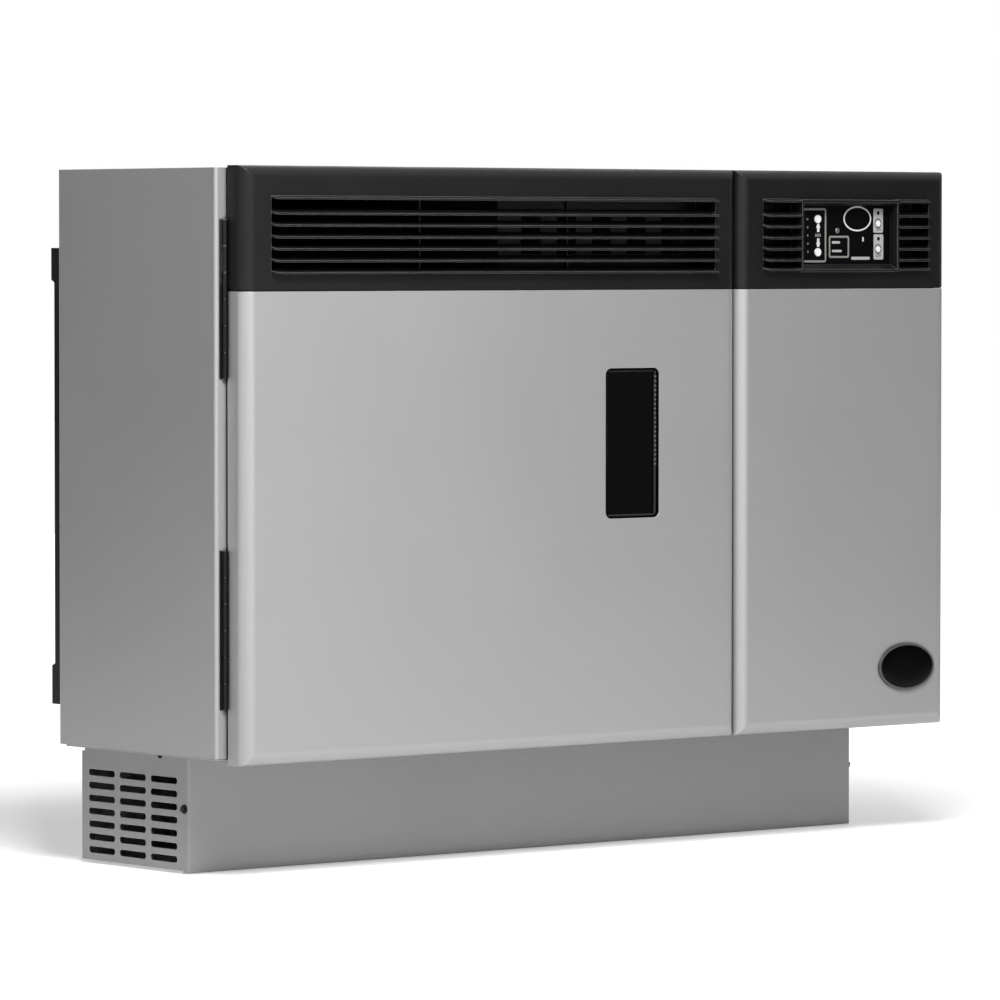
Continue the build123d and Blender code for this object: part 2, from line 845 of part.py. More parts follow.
def hinge_leaf_part(first, x_far, y_near, y_far):
    """A leaf with every second knuckle, from the pin's centre out to x_far."""
    turn = 1 if x_far > hinge_x else -1
    clear_x = hinge_x + turn * (knuckle_radius + knuckle_gap)
    with BuildPart() as leaf:
        for low in hinge_lows:
            with BuildSketch(Plane.XY.offset(low)):
                with Locations(((clear_x + x_far) / 2, (y_near + y_far) / 2)):
                    Rectangle(abs(x_far - clear_x), y_far - y_near)
            extrude(amount=hinge_length)
            for step in range(first, knuckle_count, 2):
                with BuildSketch(Plane.XY.offset(low + knuckle_gap / 2 + knuckle_pitch * step)):
                    with Locations(((clear_x + hinge_x + turn * knuckle_bite) / 2, (y_near + y_far) / 2)):
                        Rectangle(abs(hinge_x + turn * knuckle_bite - clear_x), y_far - y_near)
                    with Locations((hinge_x, hinge_y)):
                        add(knuckle_section(knuckle_radius, hinge_pin_radius + pin_play))
                extrude(amount=knuckle_pitch - knuckle_gap)
    return leaf.part


with BuildPart() as hinge_case_leaves:
    add(hinge_leaf_part(0, case_left + 1.2, case_front - hinge_leaf, case_front))
hinge_case_leaves.part.label = "hinge_case_leaves"
export_step(hinge_case_leaves.part, "parts/hinge_case_leaves.step")

with BuildPart() as hinge_door_leaves:
    add(hinge_leaf_part(1, hinge_x + door_leaf_width, cover_back, cover_back + hinge_leaf))
hinge_door_leaves.part.label = "hinge_door_leaves"
export_step(hinge_door_leaves.part, "parts/hinge_door_leaves.step")

with BuildPart() as hinge_pins:
    for low in hinge_lows:
        with BuildSketch(Plane.XY.offset(low)):
            with Locations((hinge_x, hinge_y)):
                Circle(hinge_pin_radius)
        extrude(amount=hinge_length)
hinge_pins.part.label = "hinge_pins"
export_step(hinge_pins.part, "parts/hinge_pins.step")

catch_x = door_right - grille_wall - fit - frame_latch_rail / 2
with BuildPart() as door_magnet:
    with BuildSketch(room_plane(case_front)):
        with Locations((catch_x, window_z)):
            Rectangle(frame_latch_rail - 2, 60)
    extrude(amount=cover_clearance - fit)
door_magnet.part.label = "door_magnet"
export_step(door_magnet.part, "parts/door_magnet.step")

# Fixed front: panel, grille with the control pocket, and frame
fixed_block = rolled_block(fixed_left, fixed_right, front_bottom, panel_top, 0, True)
with BuildPart() as fixed_panel:
    add(cover_shell(fixed_block, fixed_left, fixed_right, front_bottom, panel_top, sheet, True))
fixed_panel.part.label = "fixed_panel"
export_step(fixed_panel.part, "parts/fixed_panel.step")

with BuildPart() as fixed_frame:
    add(cover_frame(fixed_left, fixed_right, front_bottom, front_top, case_front, frame_rail))
fixed_frame.part.label = "fixed_frame"
export_step(fixed_frame.part, "parts/fixed_frame.step")

fixed_tips = louvre_heights(fixed_last_drop)
side_vent_left = fixed_left + fixed_vent_left
side_vent_right = fixed_right - fixed_vent_right
side_vent_low = fixed_tips[-1] + face_rise
side_vent_high = fixed_tips[0] + face_rise
pocket_left = side_vent_left + pocket_from_vent
pocket_right = pocket_left + pocket_width
pocket_x = (pocket_left + pocket_right) / 2
pocket_low = fixed_tips[-1] + pocket_bottom_rise
pocket_high = fixed_tips[0] - pocket_top_drop
pocket_floor = louvre_tip + pocket_depth
floor_low = pocket_low + pocket_low_slope
floor_high = pocket_high - pocket_high_slope
panel_z = (floor_low + floor_high) / 2
panel_back = pocket_floor + panel_thickness
side_block = rounded_grille(fixed_left, fixed_right)
side_skin = cover_shell(side_block, fixed_left, fixed_right, grille_bottom, front_top, grille_wall, False)
left_louvres = louvre_stack(side_vent_left, pocket_left, fixed_tips, True, False)
right_louvres = louvre_stack(pocket_right, side_vent_right, fixed_tips, False, True)
with BuildPart() as fixed_grille:
    add(side_skin)
    side_vent_x = (side_vent_left + side_vent_right) / 2
    side_vent_z = (side_vent_low + side_vent_high) / 2
    side_vent_width = side_vent_right - side_vent_left
    side_vent_height = side_vent_high - side_vent_low
    with BuildSketch(room_plane(vent_back)):
        with Locations((side_vent_x, side_vent_z)):
            Rectangle(side_vent_width + 2 * vent_wall, side_vent_height + 2 * vent_wall)
    extrude(amount=louvre_depth - 0.5)
    with BuildSketch(room_plane(vent_back)):
        with Locations((side_vent_x, side_vent_z)):
            Rectangle(side_vent_width, side_vent_height)
    extrude(amount=louvre_depth + 1, mode=Mode.SUBTRACT)
    add(left_louvres)
    add(right_louvres)
    with BuildSketch(room_plane(pocket_floor)):
        with Locations((pocket_x, (fixed_tips[0] + fixed_tips[-1]) / 2)):
            Rectangle(pocket_width + 2 * pocket_wall, fixed_tips[0] - fixed_tips[-1] + 2 * pocket_wall)
    extrude(amount=pocket_depth)
    with BuildSketch(room_plane(pocket_floor)):
        with Locations((pocket_x, panel_z)):
            Rectangle(pocket_width, floor_high - floor_low)
    with BuildSketch(room_plane(louvre_tip)):
        with Locations((pocket_x, (pocket_low + pocket_high) / 2)):
            Rectangle(pocket_width, pocket_high - pocket_low)
    loft(mode=Mode.SUBTRACT)
    with BuildSketch(room_plane(vent_back)):
        with Locations((pocket_x, side_vent_z)):
            Rectangle(pocket_width + 2 * pocket_wall, side_vent_height + 2 * vent_wall + 1)
    extrude(amount=vent_back - pocket_floor, mode=Mode.SUBTRACT)
fixed_grille.part.label = "fixed_grille"
export_step(fixed_grille.part, "parts/fixed_grille.step")

# Control panel: places are measured from the pocket's left wall and low edge
heat_button_x = pocket_left + 29.4
power_button_x = pocket_left + 113.2
heat_up_z = floor_low + 46.1
heat_down_z = floor_low + 12.3
on_z = floor_low + 41.7
off_z = floor_low + 15.3
lamp_x = pocket_left + 15.9
lamp_places = [(lamp_x, heat_down_z + step * (heat_up_z - heat_down_z) / 4) for step in range(5)]
lamp_places += [(power_button_x, on_z + 10.4), (power_button_x, off_z + 10.4)]
button_places = (
    ("heat_up_button", heat_button_x, heat_up_z, heat_button_radius),
    ("heat_down_button", heat_button_x, heat_down_z, heat_button_radius),
    ("on_button", power_button_x, on_z, power_button_radius),
    ("off_button", power_button_x, off_z, power_button_radius),
)
with BuildPart() as control_panel:
    with BuildSketch(room_plane(panel_back)):
        with Locations((pocket_x, panel_z)):
            Rectangle(pocket_width + pocket_wall, floor_high - floor_low + pocket_wall)
        for _, button_x, button_z, radius in button_places:
            with Locations((button_x, button_z)):
                Circle(radius + button_play, mode=Mode.SUBTRACT)
    extrude(amount=panel_thickness)
    with BuildSketch(room_plane(panel_back + board_gap)):
        with Locations((pocket_x, panel_z)):
            with GridLocations(pocket_width - 8, floor_high - floor_low - 6, 2, 2):
                Rectangle(4, 4)
    extrude(amount=board_gap)
control_panel.part.label = "control_panel"
export_step(control_panel.part, "parts/control_panel.step")

board_face = panel_back + board_gap
with BuildPart() as control_board:
    with BuildSketch(room_plane(board_face + board_thickness)):
        with Locations((pocket_x, panel_z)):
            Rectangle(pocket_width, floor_high - floor_low)
    extrude(amount=board_thickness)
    with BuildSketch(room_plane(board_face)):
        for _, button_x, button_z, _ in button_places:
            with Locations((button_x, button_z)):
                Rectangle(6, 6)
        with Locations(*lamp_places):
            Rectangle(lamp_size, lamp_size)
    extrude(amount=switch_height)
control_board.part.label = "control_board"
export_step(control_board.part, "parts/control_board.step")

for button_name, button_x, button_z, radius in button_places:
    with BuildPart() as button:
        with BuildSketch(room_plane(panel_back + fit)):
            with Locations((button_x, button_z)):
                Circle(radius)
        extrude(amount=panel_thickness + button_proud + fit)
        with BuildSketch(room_plane(panel_back + fit + 1)):
            with Locations((button_x, button_z)):
                Rectangle(2 * (radius + button_collar), 2 * (radius + button_collar))
        extrude(amount=1)
        with BuildSketch(room_plane(panel_back + fit + 1)):
            with Locations((button_x, button_z)):
                Rectangle(4, 4)
        extrude(amount=-(board_gap - 1 - switch_height - button_travel - 2 * fit))
    button.part.label = button_name
    export_step(button.part, f"parts/{button_name}.step")

badge_x = fixed_right - badge_from_right
badge_z = case_bottom + badge_rise
with BuildPart() as badge_plate:
    with BuildSketch(room_plane(front_face)):
        with Locations((badge_x, badge_z)):
            Ellipse(badge_width / 2, badge_height / 2)
    extrude(amount=badge_thickness)
    with BuildSketch(room_plane(front_face - badge_thickness + badge_recess)):
        with Locations((badge_x, badge_z)):
            Ellipse(badge_width / 2 - badge_rim, badge_height / 2 - badge_rim)
    extrude(amount=badge_recess, mode=Mode.SUBTRACT)
badge_plate.part.label = "badge_plate"
export_step(badge_plate.part, "parts/badge_plate.step")

# Firebox, one welding with its front plate, ledges, hinge pins, keeper and chute
inner_left = window_x - inner_door_left
inner_right = window_x + inner_door_right
inner_low = case_bottom + inner_door_rise
inner_high = inner_low + inner_door_height
inner_x = (inner_left + inner_right) / 2
inner_z = (inner_low + inner_high) / 2
inner_front = case_front
inner_back = inner_front + inner_door_thickness
ear_x = inner_left - ear_offset
ear_y = (inner_front + inner_back) / 2
ear_lows = (inner_low + ear_margin, inner_high - ear_margin - ear_height)
latch_x = inner_right + lug_width / 2 - 4
latch_z = inner_z + 4
keeper_left = inner_right + lug_width + 1.3
tongue_reach = math.hypot(tongue_length, tongue_width / 2)
keeper_right = latch_x + tongue_reach + fit + keeper_wall
duct_z = case_top - duct_drop
duct_places = [(window_x + duct_pitch * (step - (duct_count - 1) / 2), duct_z) for step in range(duct_count)]
baffle_z = case_top - baffle_drop
pan_front_low = ash_floor - pan_front_margin
igniter_x = window_x + igniter_offset
with BuildPart() as firebox:
    middle_y = (firebox_front + firebox_back) / 2
    middle_z = (firebox_bottom + firebox_top) / 2
    firebox_depth = firebox_back - firebox_front
    firebox_height = firebox_top - firebox_bottom
    with Locations((window_x, middle_y, middle_z)):
        Box(firebox_width, firebox_depth, firebox_height)
        Box(
            firebox_width - 2 * plate,
            firebox_depth - 2 * plate,
            firebox_height - 2 * plate,
            mode=Mode.SUBTRACT,
        )
    for side in (-1, 1):
        leg_height = firebox_bottom - case_bottom
        leg_z = case_bottom + leg_height / 2
        with Locations((window_x + side * (firebox_width - plate) / 2, middle_y, leg_z)):
            Box(plate, firebox_depth, leg_height)
    plate_left = firebox_left - front_plate_left
    plate_right = firebox_right + front_plate_right
    with BuildSketch(room_plane(firebox_front + plate)):
        with Locations(((plate_left + plate_right) / 2, (case_bottom + firebox_top) / 2)):
            Rectangle(plate_right - plate_left, firebox_top - case_bottom)
    extrude(amount=plate)
    ledge_offset = firebox_width / 2 - plate - ledge / 2
    for side in (-1, 1):
        with Locations((window_x + side * ledge_offset, middle_y, baffle_z - plate / 2)):
            Box(ledge, firebox_depth - 2 * plate, plate)
    with BuildSketch(room_plane(firebox_front + plate + 1)):
        with Locations((inner_x, inner_z)):
            Rectangle(
                inner_right - inner_left - 2 * mouth_inset, inner_door_height - 2 * mouth_inset
            )
        with Locations((window_x, (ash_floor + firebox_bottom) / 2)):
            Rectangle(ash_width, firebox_bottom - ash_floor - 2 * sheet)
    extrude(amount=plate + 2, mode=Mode.SUBTRACT)
    with BuildSketch(room_plane(firebox_back + 1)):
        with Locations(*duct_places):
            Rectangle(duct_width, duct_height)
    extrude(amount=firebox_depth + 2, mode=Mode.SUBTRACT)
    with BuildSketch(room_plane(firebox_back + 1)):
        with Locations((intake_x, intake_z)):
            Circle(intake_collar + fit)
        with Locations((igniter_x, intake_z)):
            Rectangle(igniter_size + 2 * fit, igniter_size + 2 * fit)
    extrude(amount=plate + 2, mode=Mode.SUBTRACT)
    with BuildSketch(side_plane(firebox_right - plate - 1)):
        with Locations((exhaust_y, exhaust_z)):
            Rectangle(exhaust_inlet - 4, exhaust_inlet - 4)
    extrude(amount=plate + 2, mode=Mode.SUBTRACT)
    with BuildSketch(auger_plane.offset(-30)):
        Circle(auger_tube_radius + fit)
    extrude(amount=60, mode=Mode.SUBTRACT)
    with BuildSketch(Plane.XY.offset(firebox_bottom - 1)):
        drop_offset = (ash_drop_inner + ash_drop_outer) / 2
        drop_y = firebox_front + ash_drop_front + ash_drop_length / 2
        for side in (-1, 1):
            with Locations((window_x + side * drop_offset, drop_y)):
                Rectangle(ash_drop_outer - ash_drop_inner, ash_drop_length)
    extrude(amount=plate + 2, mode=Mode.SUBTRACT)
    for ear_low in ear_lows:
        with BuildSketch(Plane.XY.offset(ear_low - fit - ledge)):
            with Locations((ear_x, (ear_y - ear_seat / 2 + firebox_front) / 2)):
                Rectangle(ear_seat, firebox_front - ear_y + ear_seat / 2)
        extrude(amount=ledge)
        with BuildSketch(Plane.XY.offset(ear_low - fit)):
            with Locations((ear_x, ear_y)):
                Circle(ear_pin_radius)
        extrude(amount=ear_height)
    arm_front = inner_back - keeper_wall
    with BuildSketch(Plane.XY.offset(latch_z - 9)):
        with Locations(((keeper_left + keeper_right) / 2, inner_back - keeper_wall / 2)):
            Rectangle(keeper_right - keeper_left, keeper_wall)
        with Locations((keeper_right - keeper_wall / 2, (arm_front + firebox_front) / 2)):
            Rectangle(keeper_wall, firebox_front - arm_front)
    extrude(amount=18)
firebox.part.label = "firebox"
export_step(firebox.part, "parts/firebox.step")

with BuildPart() as heat_ducts:
    with BuildSketch(room_plane(firebox_back + plate)):
        with Locations(*duct_places):
            Rectangle(duct_width, duct_height)
            Rectangle(duct_width - 2 * duct_wall, duct_height - 2 * duct_wall, mode=Mode.SUBTRACT)
    extrude(amount=firebox_depth + plate)
heat_ducts.part.label = "heat_ducts"
export_step(heat_ducts.part, "parts/heat_ducts.step")

with BuildPart() as baffle:
    baffle_front = firebox_front + plate + baffle_gap
    baffle_back = firebox_back - plate - fit
    baffle_width = firebox_width - 2 * plate - 2 * fit
    with BuildSketch(side_plane(window_x - baffle_width / 2)):
        with BuildLine():
            Polyline(
                (baffle_back, baffle_z),
                (baffle_front, baffle_z),
                (baffle_front - 12, baffle_z + 10),
                (baffle_front - 12, baffle_z + 10 + plate),
                (baffle_front, baffle_z + plate),
                (baffle_back, baffle_z + plate),
                close=True,
            )
        make_face()
    extrude(amount=baffle_width)
baffle.part.label = "baffle"
export_step(baffle.part, "parts/baffle.step")

pot_y = firebox_front + plate + pot_depth_in - ledge * 2
cradle_top = cradle_z + cradle_height
with BuildPart() as pot_cradle:
    with BuildSketch(Plane.XY.offset(cradle_z)):
        with Locations((window_x, pot_y)):
            Rectangle(cradle_width, cradle_depth)
    extrude(amount=cradle_height)
    with BuildSketch(Plane.XY.offset(cradle_z - 1)):
        with Locations((window_x, pot_y)):
            Rectangle(cradle_width - 2 * cradle_sheet, cradle_depth - 2 * cradle_sheet)
    extrude(amount=cradle_height - cradle_sheet + 1, mode=Mode.SUBTRACT)
    with BuildSketch(Plane.XY.offset(cradle_top - cradle_sheet - 1)):
        with Locations((window_x, pot_y)):
            Rectangle(pot_top + 2 * fit, pot_top + 2 * fit)
    extrude(amount=cradle_sheet + 2, mode=Mode.SUBTRACT)
    with BuildSketch(room_plane(pot_y + cradle_depth / 2 + 1)):
        with Locations((intake_x, intake_z)):
            Circle(intake_collar + 0.1)
        with Locations((igniter_x, intake_z)):
            Rectangle(igniter_size, igniter_size)
    extrude(amount=cradle_sheet + 2, mode=Mode.SUBTRACT)
pot_cradle.part.label = "pot_cradle"
export_step(pot_cradle.part, "parts/pot_cradle.step")



def square_funnel(low, high, low_size, high_size):
    """A square frustum that widens upwards round the pot's centre line."""
    margin = (high_size - low_size) / 2
    far = high_size - margin
    with BuildPart() as funnel:
        with Locations(Location((window_x, pot_y, (low + high) / 2), (-90, 0, 0))):
            Wedge(high_size, high - low, high_size, margin, margin, far, far)
    return funnel.part


pot_low = cradle_top - pot_height + pot_rise
pot_rim = cradle_top + pot_rise + pot_wall
pot_shape = square_funnel(pot_low, cradle_top, pot_bottom, pot_top)
pot_hollow = square_funnel(pot_low + pot_wall, pot_rim, pot_bottom - 2 * pot_wall, pot_top - 2 * pot_wall)
with BuildPart() as burn_pot:
    add(pot_shape)
    with BuildSketch(Plane.XY.offset(cradle_top)):
        with Locations((window_x, pot_y)):
            Rectangle(pot_flange, pot_flange)
    extrude(amount=pot_wall)
    with BuildSketch(Plane.XY.offset(cradle_top)):
        with Locations((window_x, pot_y)):
            Rectangle(pot_top, pot_top)
    extrude(amount=pot_rim - cradle_top)
    add(pot_hollow, mode=Mode.SUBTRACT)
    with BuildSketch(Plane.XY.offset(pot_low - 1)):
        with Locations((window_x, pot_y)):
            with GridLocations(2 * air_slot_width, 1, air_slot_count, 1):
                Rectangle(air_slot_width, pot_bottom - 6 * pot_wall)
    extrude(amount=pot_wall + 2, mode=Mode.SUBTRACT)
burn_pot.part.label = "burn_pot"
export_step(burn_pot.part, "parts/burn_pot.step")

cradle_back = pot_y + cradle_depth / 2
with BuildPart() as intake_pipe:
    intake_end = cradle_back - cradle_sheet
    with BuildSketch(room_plane(case_back + stub_length)):
        with Locations((intake_x, intake_z)):
            Circle(intake_radius)
    extrude(amount=stub_length)
    with BuildSketch(room_plane(case_back)):
        with Locations((intake_x, intake_z)):
            Circle(intake_collar)
    extrude(amount=case_back - intake_end)
    with BuildSketch(room_plane(case_back + stub_length)):
        with Locations((intake_x, intake_z)):
            Circle(intake_radius - intake_wall)
    extrude(amount=case_back + stub_length - intake_end, mode=Mode.SUBTRACT)
intake_pipe.part.label = "intake_pipe"
export_step(intake_pipe.part, "parts/intake_pipe.step")

with BuildPart() as igniter:
    with BuildSketch(room_plane(firebox_back + 3)):
        with Locations((igniter_x, intake_z)):
            Rectangle(igniter_size, igniter_size)
    extrude(amount=firebox_back - cradle_back + cradle_sheet + 12)
    with BuildSketch(room_plane(firebox_back + 3)):
        with Locations((igniter_x, intake_z)):
            Rectangle(igniter_size + 8, igniter_size + 8)
    extrude(amount=3)
igniter.part.label = "igniter"
export_step(igniter.part, "parts/igniter.step")

# Ash pan and the channel it runs in
with BuildPart() as ash_housing:
    housing_depth = firebox_back - firebox_front - 2 * plate
    housing_y = firebox_front + plate + housing_depth / 2
    with BuildSketch(Plane.XY.offset(ash_floor)):
        with Locations((window_x, housing_y)):
            Rectangle(ash_width + 2 * sheet, housing_depth)
    extrude(amount=ash_height + sheet)
    with BuildSketch(Plane.XY.offset(ash_floor + sheet)):
        with Locations((window_x, housing_y - sheet)):
            Rectangle(ash_width, housing_depth)
    extrude(amount=ash_height + 1, mode=Mode.SUBTRACT)
ash_housing.part.label = "ash_housing"
export_step(ash_housing.part, "parts/ash_housing.step")

pan_width = ash_width - 2 * pan_side_gap
pan_low = ash_floor + sheet + fit
pan_high = firebox_bottom - pan_top_gap
pan_face = firebox_front - fit - sheet
pan_depth = housing_depth - 2 * sheet - fit
with BuildPart() as ash_pan:
    pan_y = pan_face + sheet + pan_depth / 2
    with BuildSketch(Plane.XY.offset(pan_low)):
        with Locations((window_x, pan_y)):
            Rectangle(pan_width, pan_depth)
    extrude(amount=pan_high - pan_low)
    with BuildSketch(Plane.XY.offset(pan_low + sheet)):
        with Locations((window_x, pan_y)):
            Rectangle(pan_width - 2 * sheet, pan_depth - 2 * sheet)
    extrude(amount=pan_high - pan_low, mode=Mode.SUBTRACT)
    with BuildSketch(room_plane(pan_face + sheet)):
        with Locations((window_x, (pan_front_low + firebox_bottom + pan_front_margin) / 2)):
            Rectangle(
                ash_width + 2 * pan_front_margin, firebox_bottom + 2 * pan_front_margin - ash_floor
            )
    extrude(amount=sheet)
    handle_top = firebox_bottom + pan_front_margin
    with BuildSketch(side_plane(window_x - 50)):
        with BuildLine():
            Polyline(
                (pan_face + sheet / 2, handle_top - 8),
                (pan_face - pan_handle_reach, handle_top - 8),
                (pan_face - pan_handle_reach, handle_top - 18),
                (pan_face - pan_handle_reach + 2, handle_top - 18),
                (pan_face - pan_handle_reach + 2, handle_top - 10),
                (pan_face + sheet / 2, handle_top - 10),
                close=True,
            )
        make_face()
    extrude(amount=100)
ash_pan.part.label = "ash_pan"
export_step(ash_pan.part, "parts/ash_pan.step")

# Firebox door with its glass, rope seal and latch
seal_width = inner_right - inner_left - 2 * rope_inset
seal_height = inner_door_height - 2 * rope_inset
with BuildPart() as firebox_door:
    with BuildSketch(room_plane(inner_back)):
        with Locations((inner_x, inner_z)):
            Rectangle(inner_right - inner_left, inner_door_height)
        with Locations((inner_right + lug_width / 2 - 1, latch_z)):
            Rectangle(lug_width + 2, lug_height)
    extrude(amount=inner_door_thickness)
    chamfer(firebox_door.faces().sort_by(Axis.Y)[0].outer_wire().edges(), 2)
    for ear_low in ear_lows:
        with BuildSketch(Plane.XY.offset(ear_low)):
            with Locations(((ear_x - ear_radius + inner_left + 3) / 2, ear_y)):
                Rectangle(inner_left + 3 - ear_x + ear_radius, 2 * ear_radius)
        extrude(amount=ear_height)
        with BuildSketch(Plane.XY.offset(ear_low)):
            with Locations((ear_x, ear_y)):
                Circle(ear_pin_radius + pin_play)
        extrude(amount=ear_height, mode=Mode.SUBTRACT)
    with BuildSketch(room_plane(inner_back + 1)):
        with Locations((window_x, window_z)):
            Rectangle(inner_window_width, inner_window_height)
    extrude(amount=inner_door_thickness + 2, mode=Mode.SUBTRACT)
    with BuildSketch(room_plane(inner_back)):
        with Locations((window_x, window_z)):
            Rectangle(
                inner_window_width + 2 * inner_glass_overlap + 2 * fit,
                inner_window_height + 2 * inner_glass_overlap + 2 * fit,
            )
    extrude(amount=inner_door_thickness - inner_glass_depth, mode=Mode.SUBTRACT)
    with BuildSketch(room_plane(inner_back)):
        with Locations((inner_x, inner_z)):
            Rectangle(seal_width + groove_width, seal_height + groove_width)
            Rectangle(seal_width - groove_width, seal_height - groove_width, mode=Mode.SUBTRACT)
    extrude(amount=groove_depth, mode=Mode.SUBTRACT)
    with BuildSketch(room_plane(inner_back)):
        with Locations((latch_x, latch_z)):
            Circle(latch_shaft_radius + pin_play)
    extrude(amount=inner_door_thickness, mode=Mode.SUBTRACT)
firebox_door.part.label = "firebox_door"
export_step(firebox_door.part, "parts/firebox_door.step")

seal_back = firebox_front - fit
with BuildPart() as firebox_seal:
    with BuildSketch(room_plane(seal_back)):
        with Locations((inner_x, inner_z)):
            Rectangle(seal_width + rope_width, seal_height + rope_width)
            Rectangle(seal_width - rope_width, seal_height - rope_width, mode=Mode.SUBTRACT)
    extrude(amount=seal_back - inner_back + groove_depth)
    chamfer(firebox_seal.edges().group_by(Axis.Y)[-1], rope_width / 4)
firebox_seal.part.label = "firebox_seal"
export_step(firebox_seal.part, "parts/firebox_seal.step")

with BuildPart() as firebox_glass:
    with BuildSketch(room_plane(inner_front + inner_glass_depth + inner_glass_thickness)):
        with Locations((window_x, window_z)):
            Rectangle(
                inner_window_width + 2 * inner_glass_overlap, inner_window_height + 2 * inner_glass_overlap
            )
    extrude(amount=inner_glass_thickness)
firebox_glass.part.label = "firebox_glass"
export_step(firebox_glass.part, "parts/firebox_glass.step")

with BuildPart() as glass_retainer:
    with BuildSketch(room_plane(inner_back)):
        with Locations((window_x, window_z)):
            Rectangle(
                inner_window_width + 2 * inner_glass_overlap, inner_window_height + 2 * inner_glass_overlap
            )
            Rectangle(inner_window_width, inner_window_height, mode=Mode.SUBTRACT)
    extrude(amount=inner_door_thickness - inner_glass_depth - inner_glass_thickness - fit)
glass_retainer.part.label = "glass_retainer"
export_step(glass_retainer.part, "parts/glass_retainer.step")

with BuildPart() as door_latch:
    tongue_back = inner_back + 0.5 + tongue_thickness
    strap_back = inner_front - latch_stand + latch_strap
    with BuildSketch(room_plane(tongue_back)):
        with Locations((latch_x, latch_z)):
            Circle(latch_shaft_radius)
    extrude(amount=tongue_back - strap_back)
    with BuildSketch(room_plane(tongue_back)):
        with Locations((latch_x, latch_z - tongue_length / 2)):
            Rectangle(tongue_width, tongue_length)
    extrude(amount=tongue_thickness)
    with BuildSketch(room_plane(strap_back)):
        with Locations((latch_x - latch_arm / 2, latch_z)):
            Rectangle(latch_arm + tongue_width + 2, tongue_width + 2)
    extrude(amount=latch_strap)
    with BuildSketch(side_plane(latch_x - latch_arm - latch_grip_length)):
        with Locations((strap_back - latch_strap / 2, latch_z)):
            RegularPolygon(latch_grip_size / 2, 6, major_radius=False)
    extrude(amount=latch_grip_length)
door_latch.part.label = "door_latch"
export_step(door_latch.part, "parts/door_latch.step")

# Pellet feed: chute, tube, screw and motor
with BuildPart() as feed_chute:
    chute_top = case_bottom + auger_entry_rise - auger_tube_radius - 8
    chute_right = firebox_right - plate
    chute_left = chute_right - chute_length
    chute_width = feed_box_depth + 4
    with BuildSketch(room_plane(case_front + auger_from_front + chute_width / 2)):
        with BuildLine():
            Polyline(
                (chute_right, chute_top),
                (chute_left, chute_top - chute_drop),
                (chute_left, chute_top - chute_drop + 16),
                (chute_right, chute_top + 16),
                close=True,
            )
        make_face()
    extrude(amount=chute_width)
    with BuildSketch(room_plane(case_front + auger_from_front + chute_width / 2 - sheet)):
        with BuildLine():
            Polyline(
                (chute_right + 1, chute_top + sheet),
                (chute_left - 1, chute_top - chute_drop + sheet),
                (chute_left - 1, chute_top + 20),
                (chute_right + 1, chute_top + 20),
                close=True,
            )
        make_face()
    extrude(amount=chute_width - 2 * sheet, mode=Mode.SUBTRACT)
feed_chute.part.label = "feed_chute"
export_step(feed_chute.part, "parts/feed_chute.step")

throat_z = case_bottom + throat_rise
feed_x = firebox_right + feed_box_along * auger_run + feed_box_width / 2
feed_y = case_front + auger_from_front
feed_axis_z = case_bottom + auger_entry_rise - (feed_x - firebox_right) * auger_fall / auger_run
with BuildPart() as auger_tube:
    with BuildSketch(auger_plane.offset(-auger_inside)):
        Circle(auger_tube_radius)
    extrude(amount=auger_inside + auger_length)
    with BuildSketch(Plane.XY.offset(feed_axis_z)):
        with Locations((feed_x, feed_y)):
            Rectangle(feed_box_width, feed_box_depth)
    extrude(amount=throat_z - feed_axis_z)
    with BuildSketch(Plane.XY.offset(throat_z - sheet)):
        with Locations((feed_x, feed_y)):
            Rectangle(feed_box_width + 2 * feed_flange, feed_box_depth + 2 * feed_flange)
    extrude(amount=sheet)
    with BuildSketch(auger_plane.offset(-auger_inside)):
        Circle(auger_tube_radius - auger_tube_wall)
    extrude(amount=auger_inside + auger_length - 3, mode=Mode.SUBTRACT)
    with BuildSketch(Plane.XY.offset(feed_axis_z)):
        with Locations((feed_x, feed_y)):
            Rectangle(feed_box_width - 2 * sheet, feed_box_depth - 2 * sheet)
    extrude(amount=throat_z - feed_axis_z, mode=Mode.SUBTRACT)
    with BuildSketch(auger_plane.offset(auger_length - 4)):
        Circle(shaft_radius + pin_play)
    extrude(amount=5, mode=Mode.SUBTRACT)
auger_tube.part.label = "auger_tube"
export_step(auger_tube.part, "parts/auger_tube.step")

# The screw's flights are flat half plates whose slants alternate, joined at their rims
half_pitch = auger_pitch / 2
flight_count = int((auger_length - 2 * auger_inside) / half_pitch)
flight_slant = math.degrees(math.atan2(half_pitch, 2 * auger_radius))
with BuildPart() as screw_blank:
    for step in range(flight_count):
        side = 1 if step % 2 else -1
        centre = (side * auger_radius / 2, 0, half_pitch * (step + 0.5))
        with Locations(Location(centre, (side * flight_slant, 0, 0))):
            Box(auger_radius + 2 * auger_flight, 3 * auger_radius, auger_flight)
    with BuildSketch(Plane.XY.offset(-half_pitch)):
        Circle(auger_radius)
    extrude(amount=auger_length + auger_pitch, mode=Mode.INTERSECT)
    with BuildSketch(Plane.XY.offset(-6)):
        Rectangle(auger_core, auger_core)
    extrude(amount=auger_length - 6)
    with BuildSketch(Plane.XY.offset(auger_length - 12)):
        Circle(shaft_radius)
    extrude(amount=30)
with BuildPart() as auger_screw:
    add(auger_plane.location * screw_blank.part)
auger_screw.part.label = "auger_screw"
export_step(auger_screw.part, "parts/auger_screw.step")

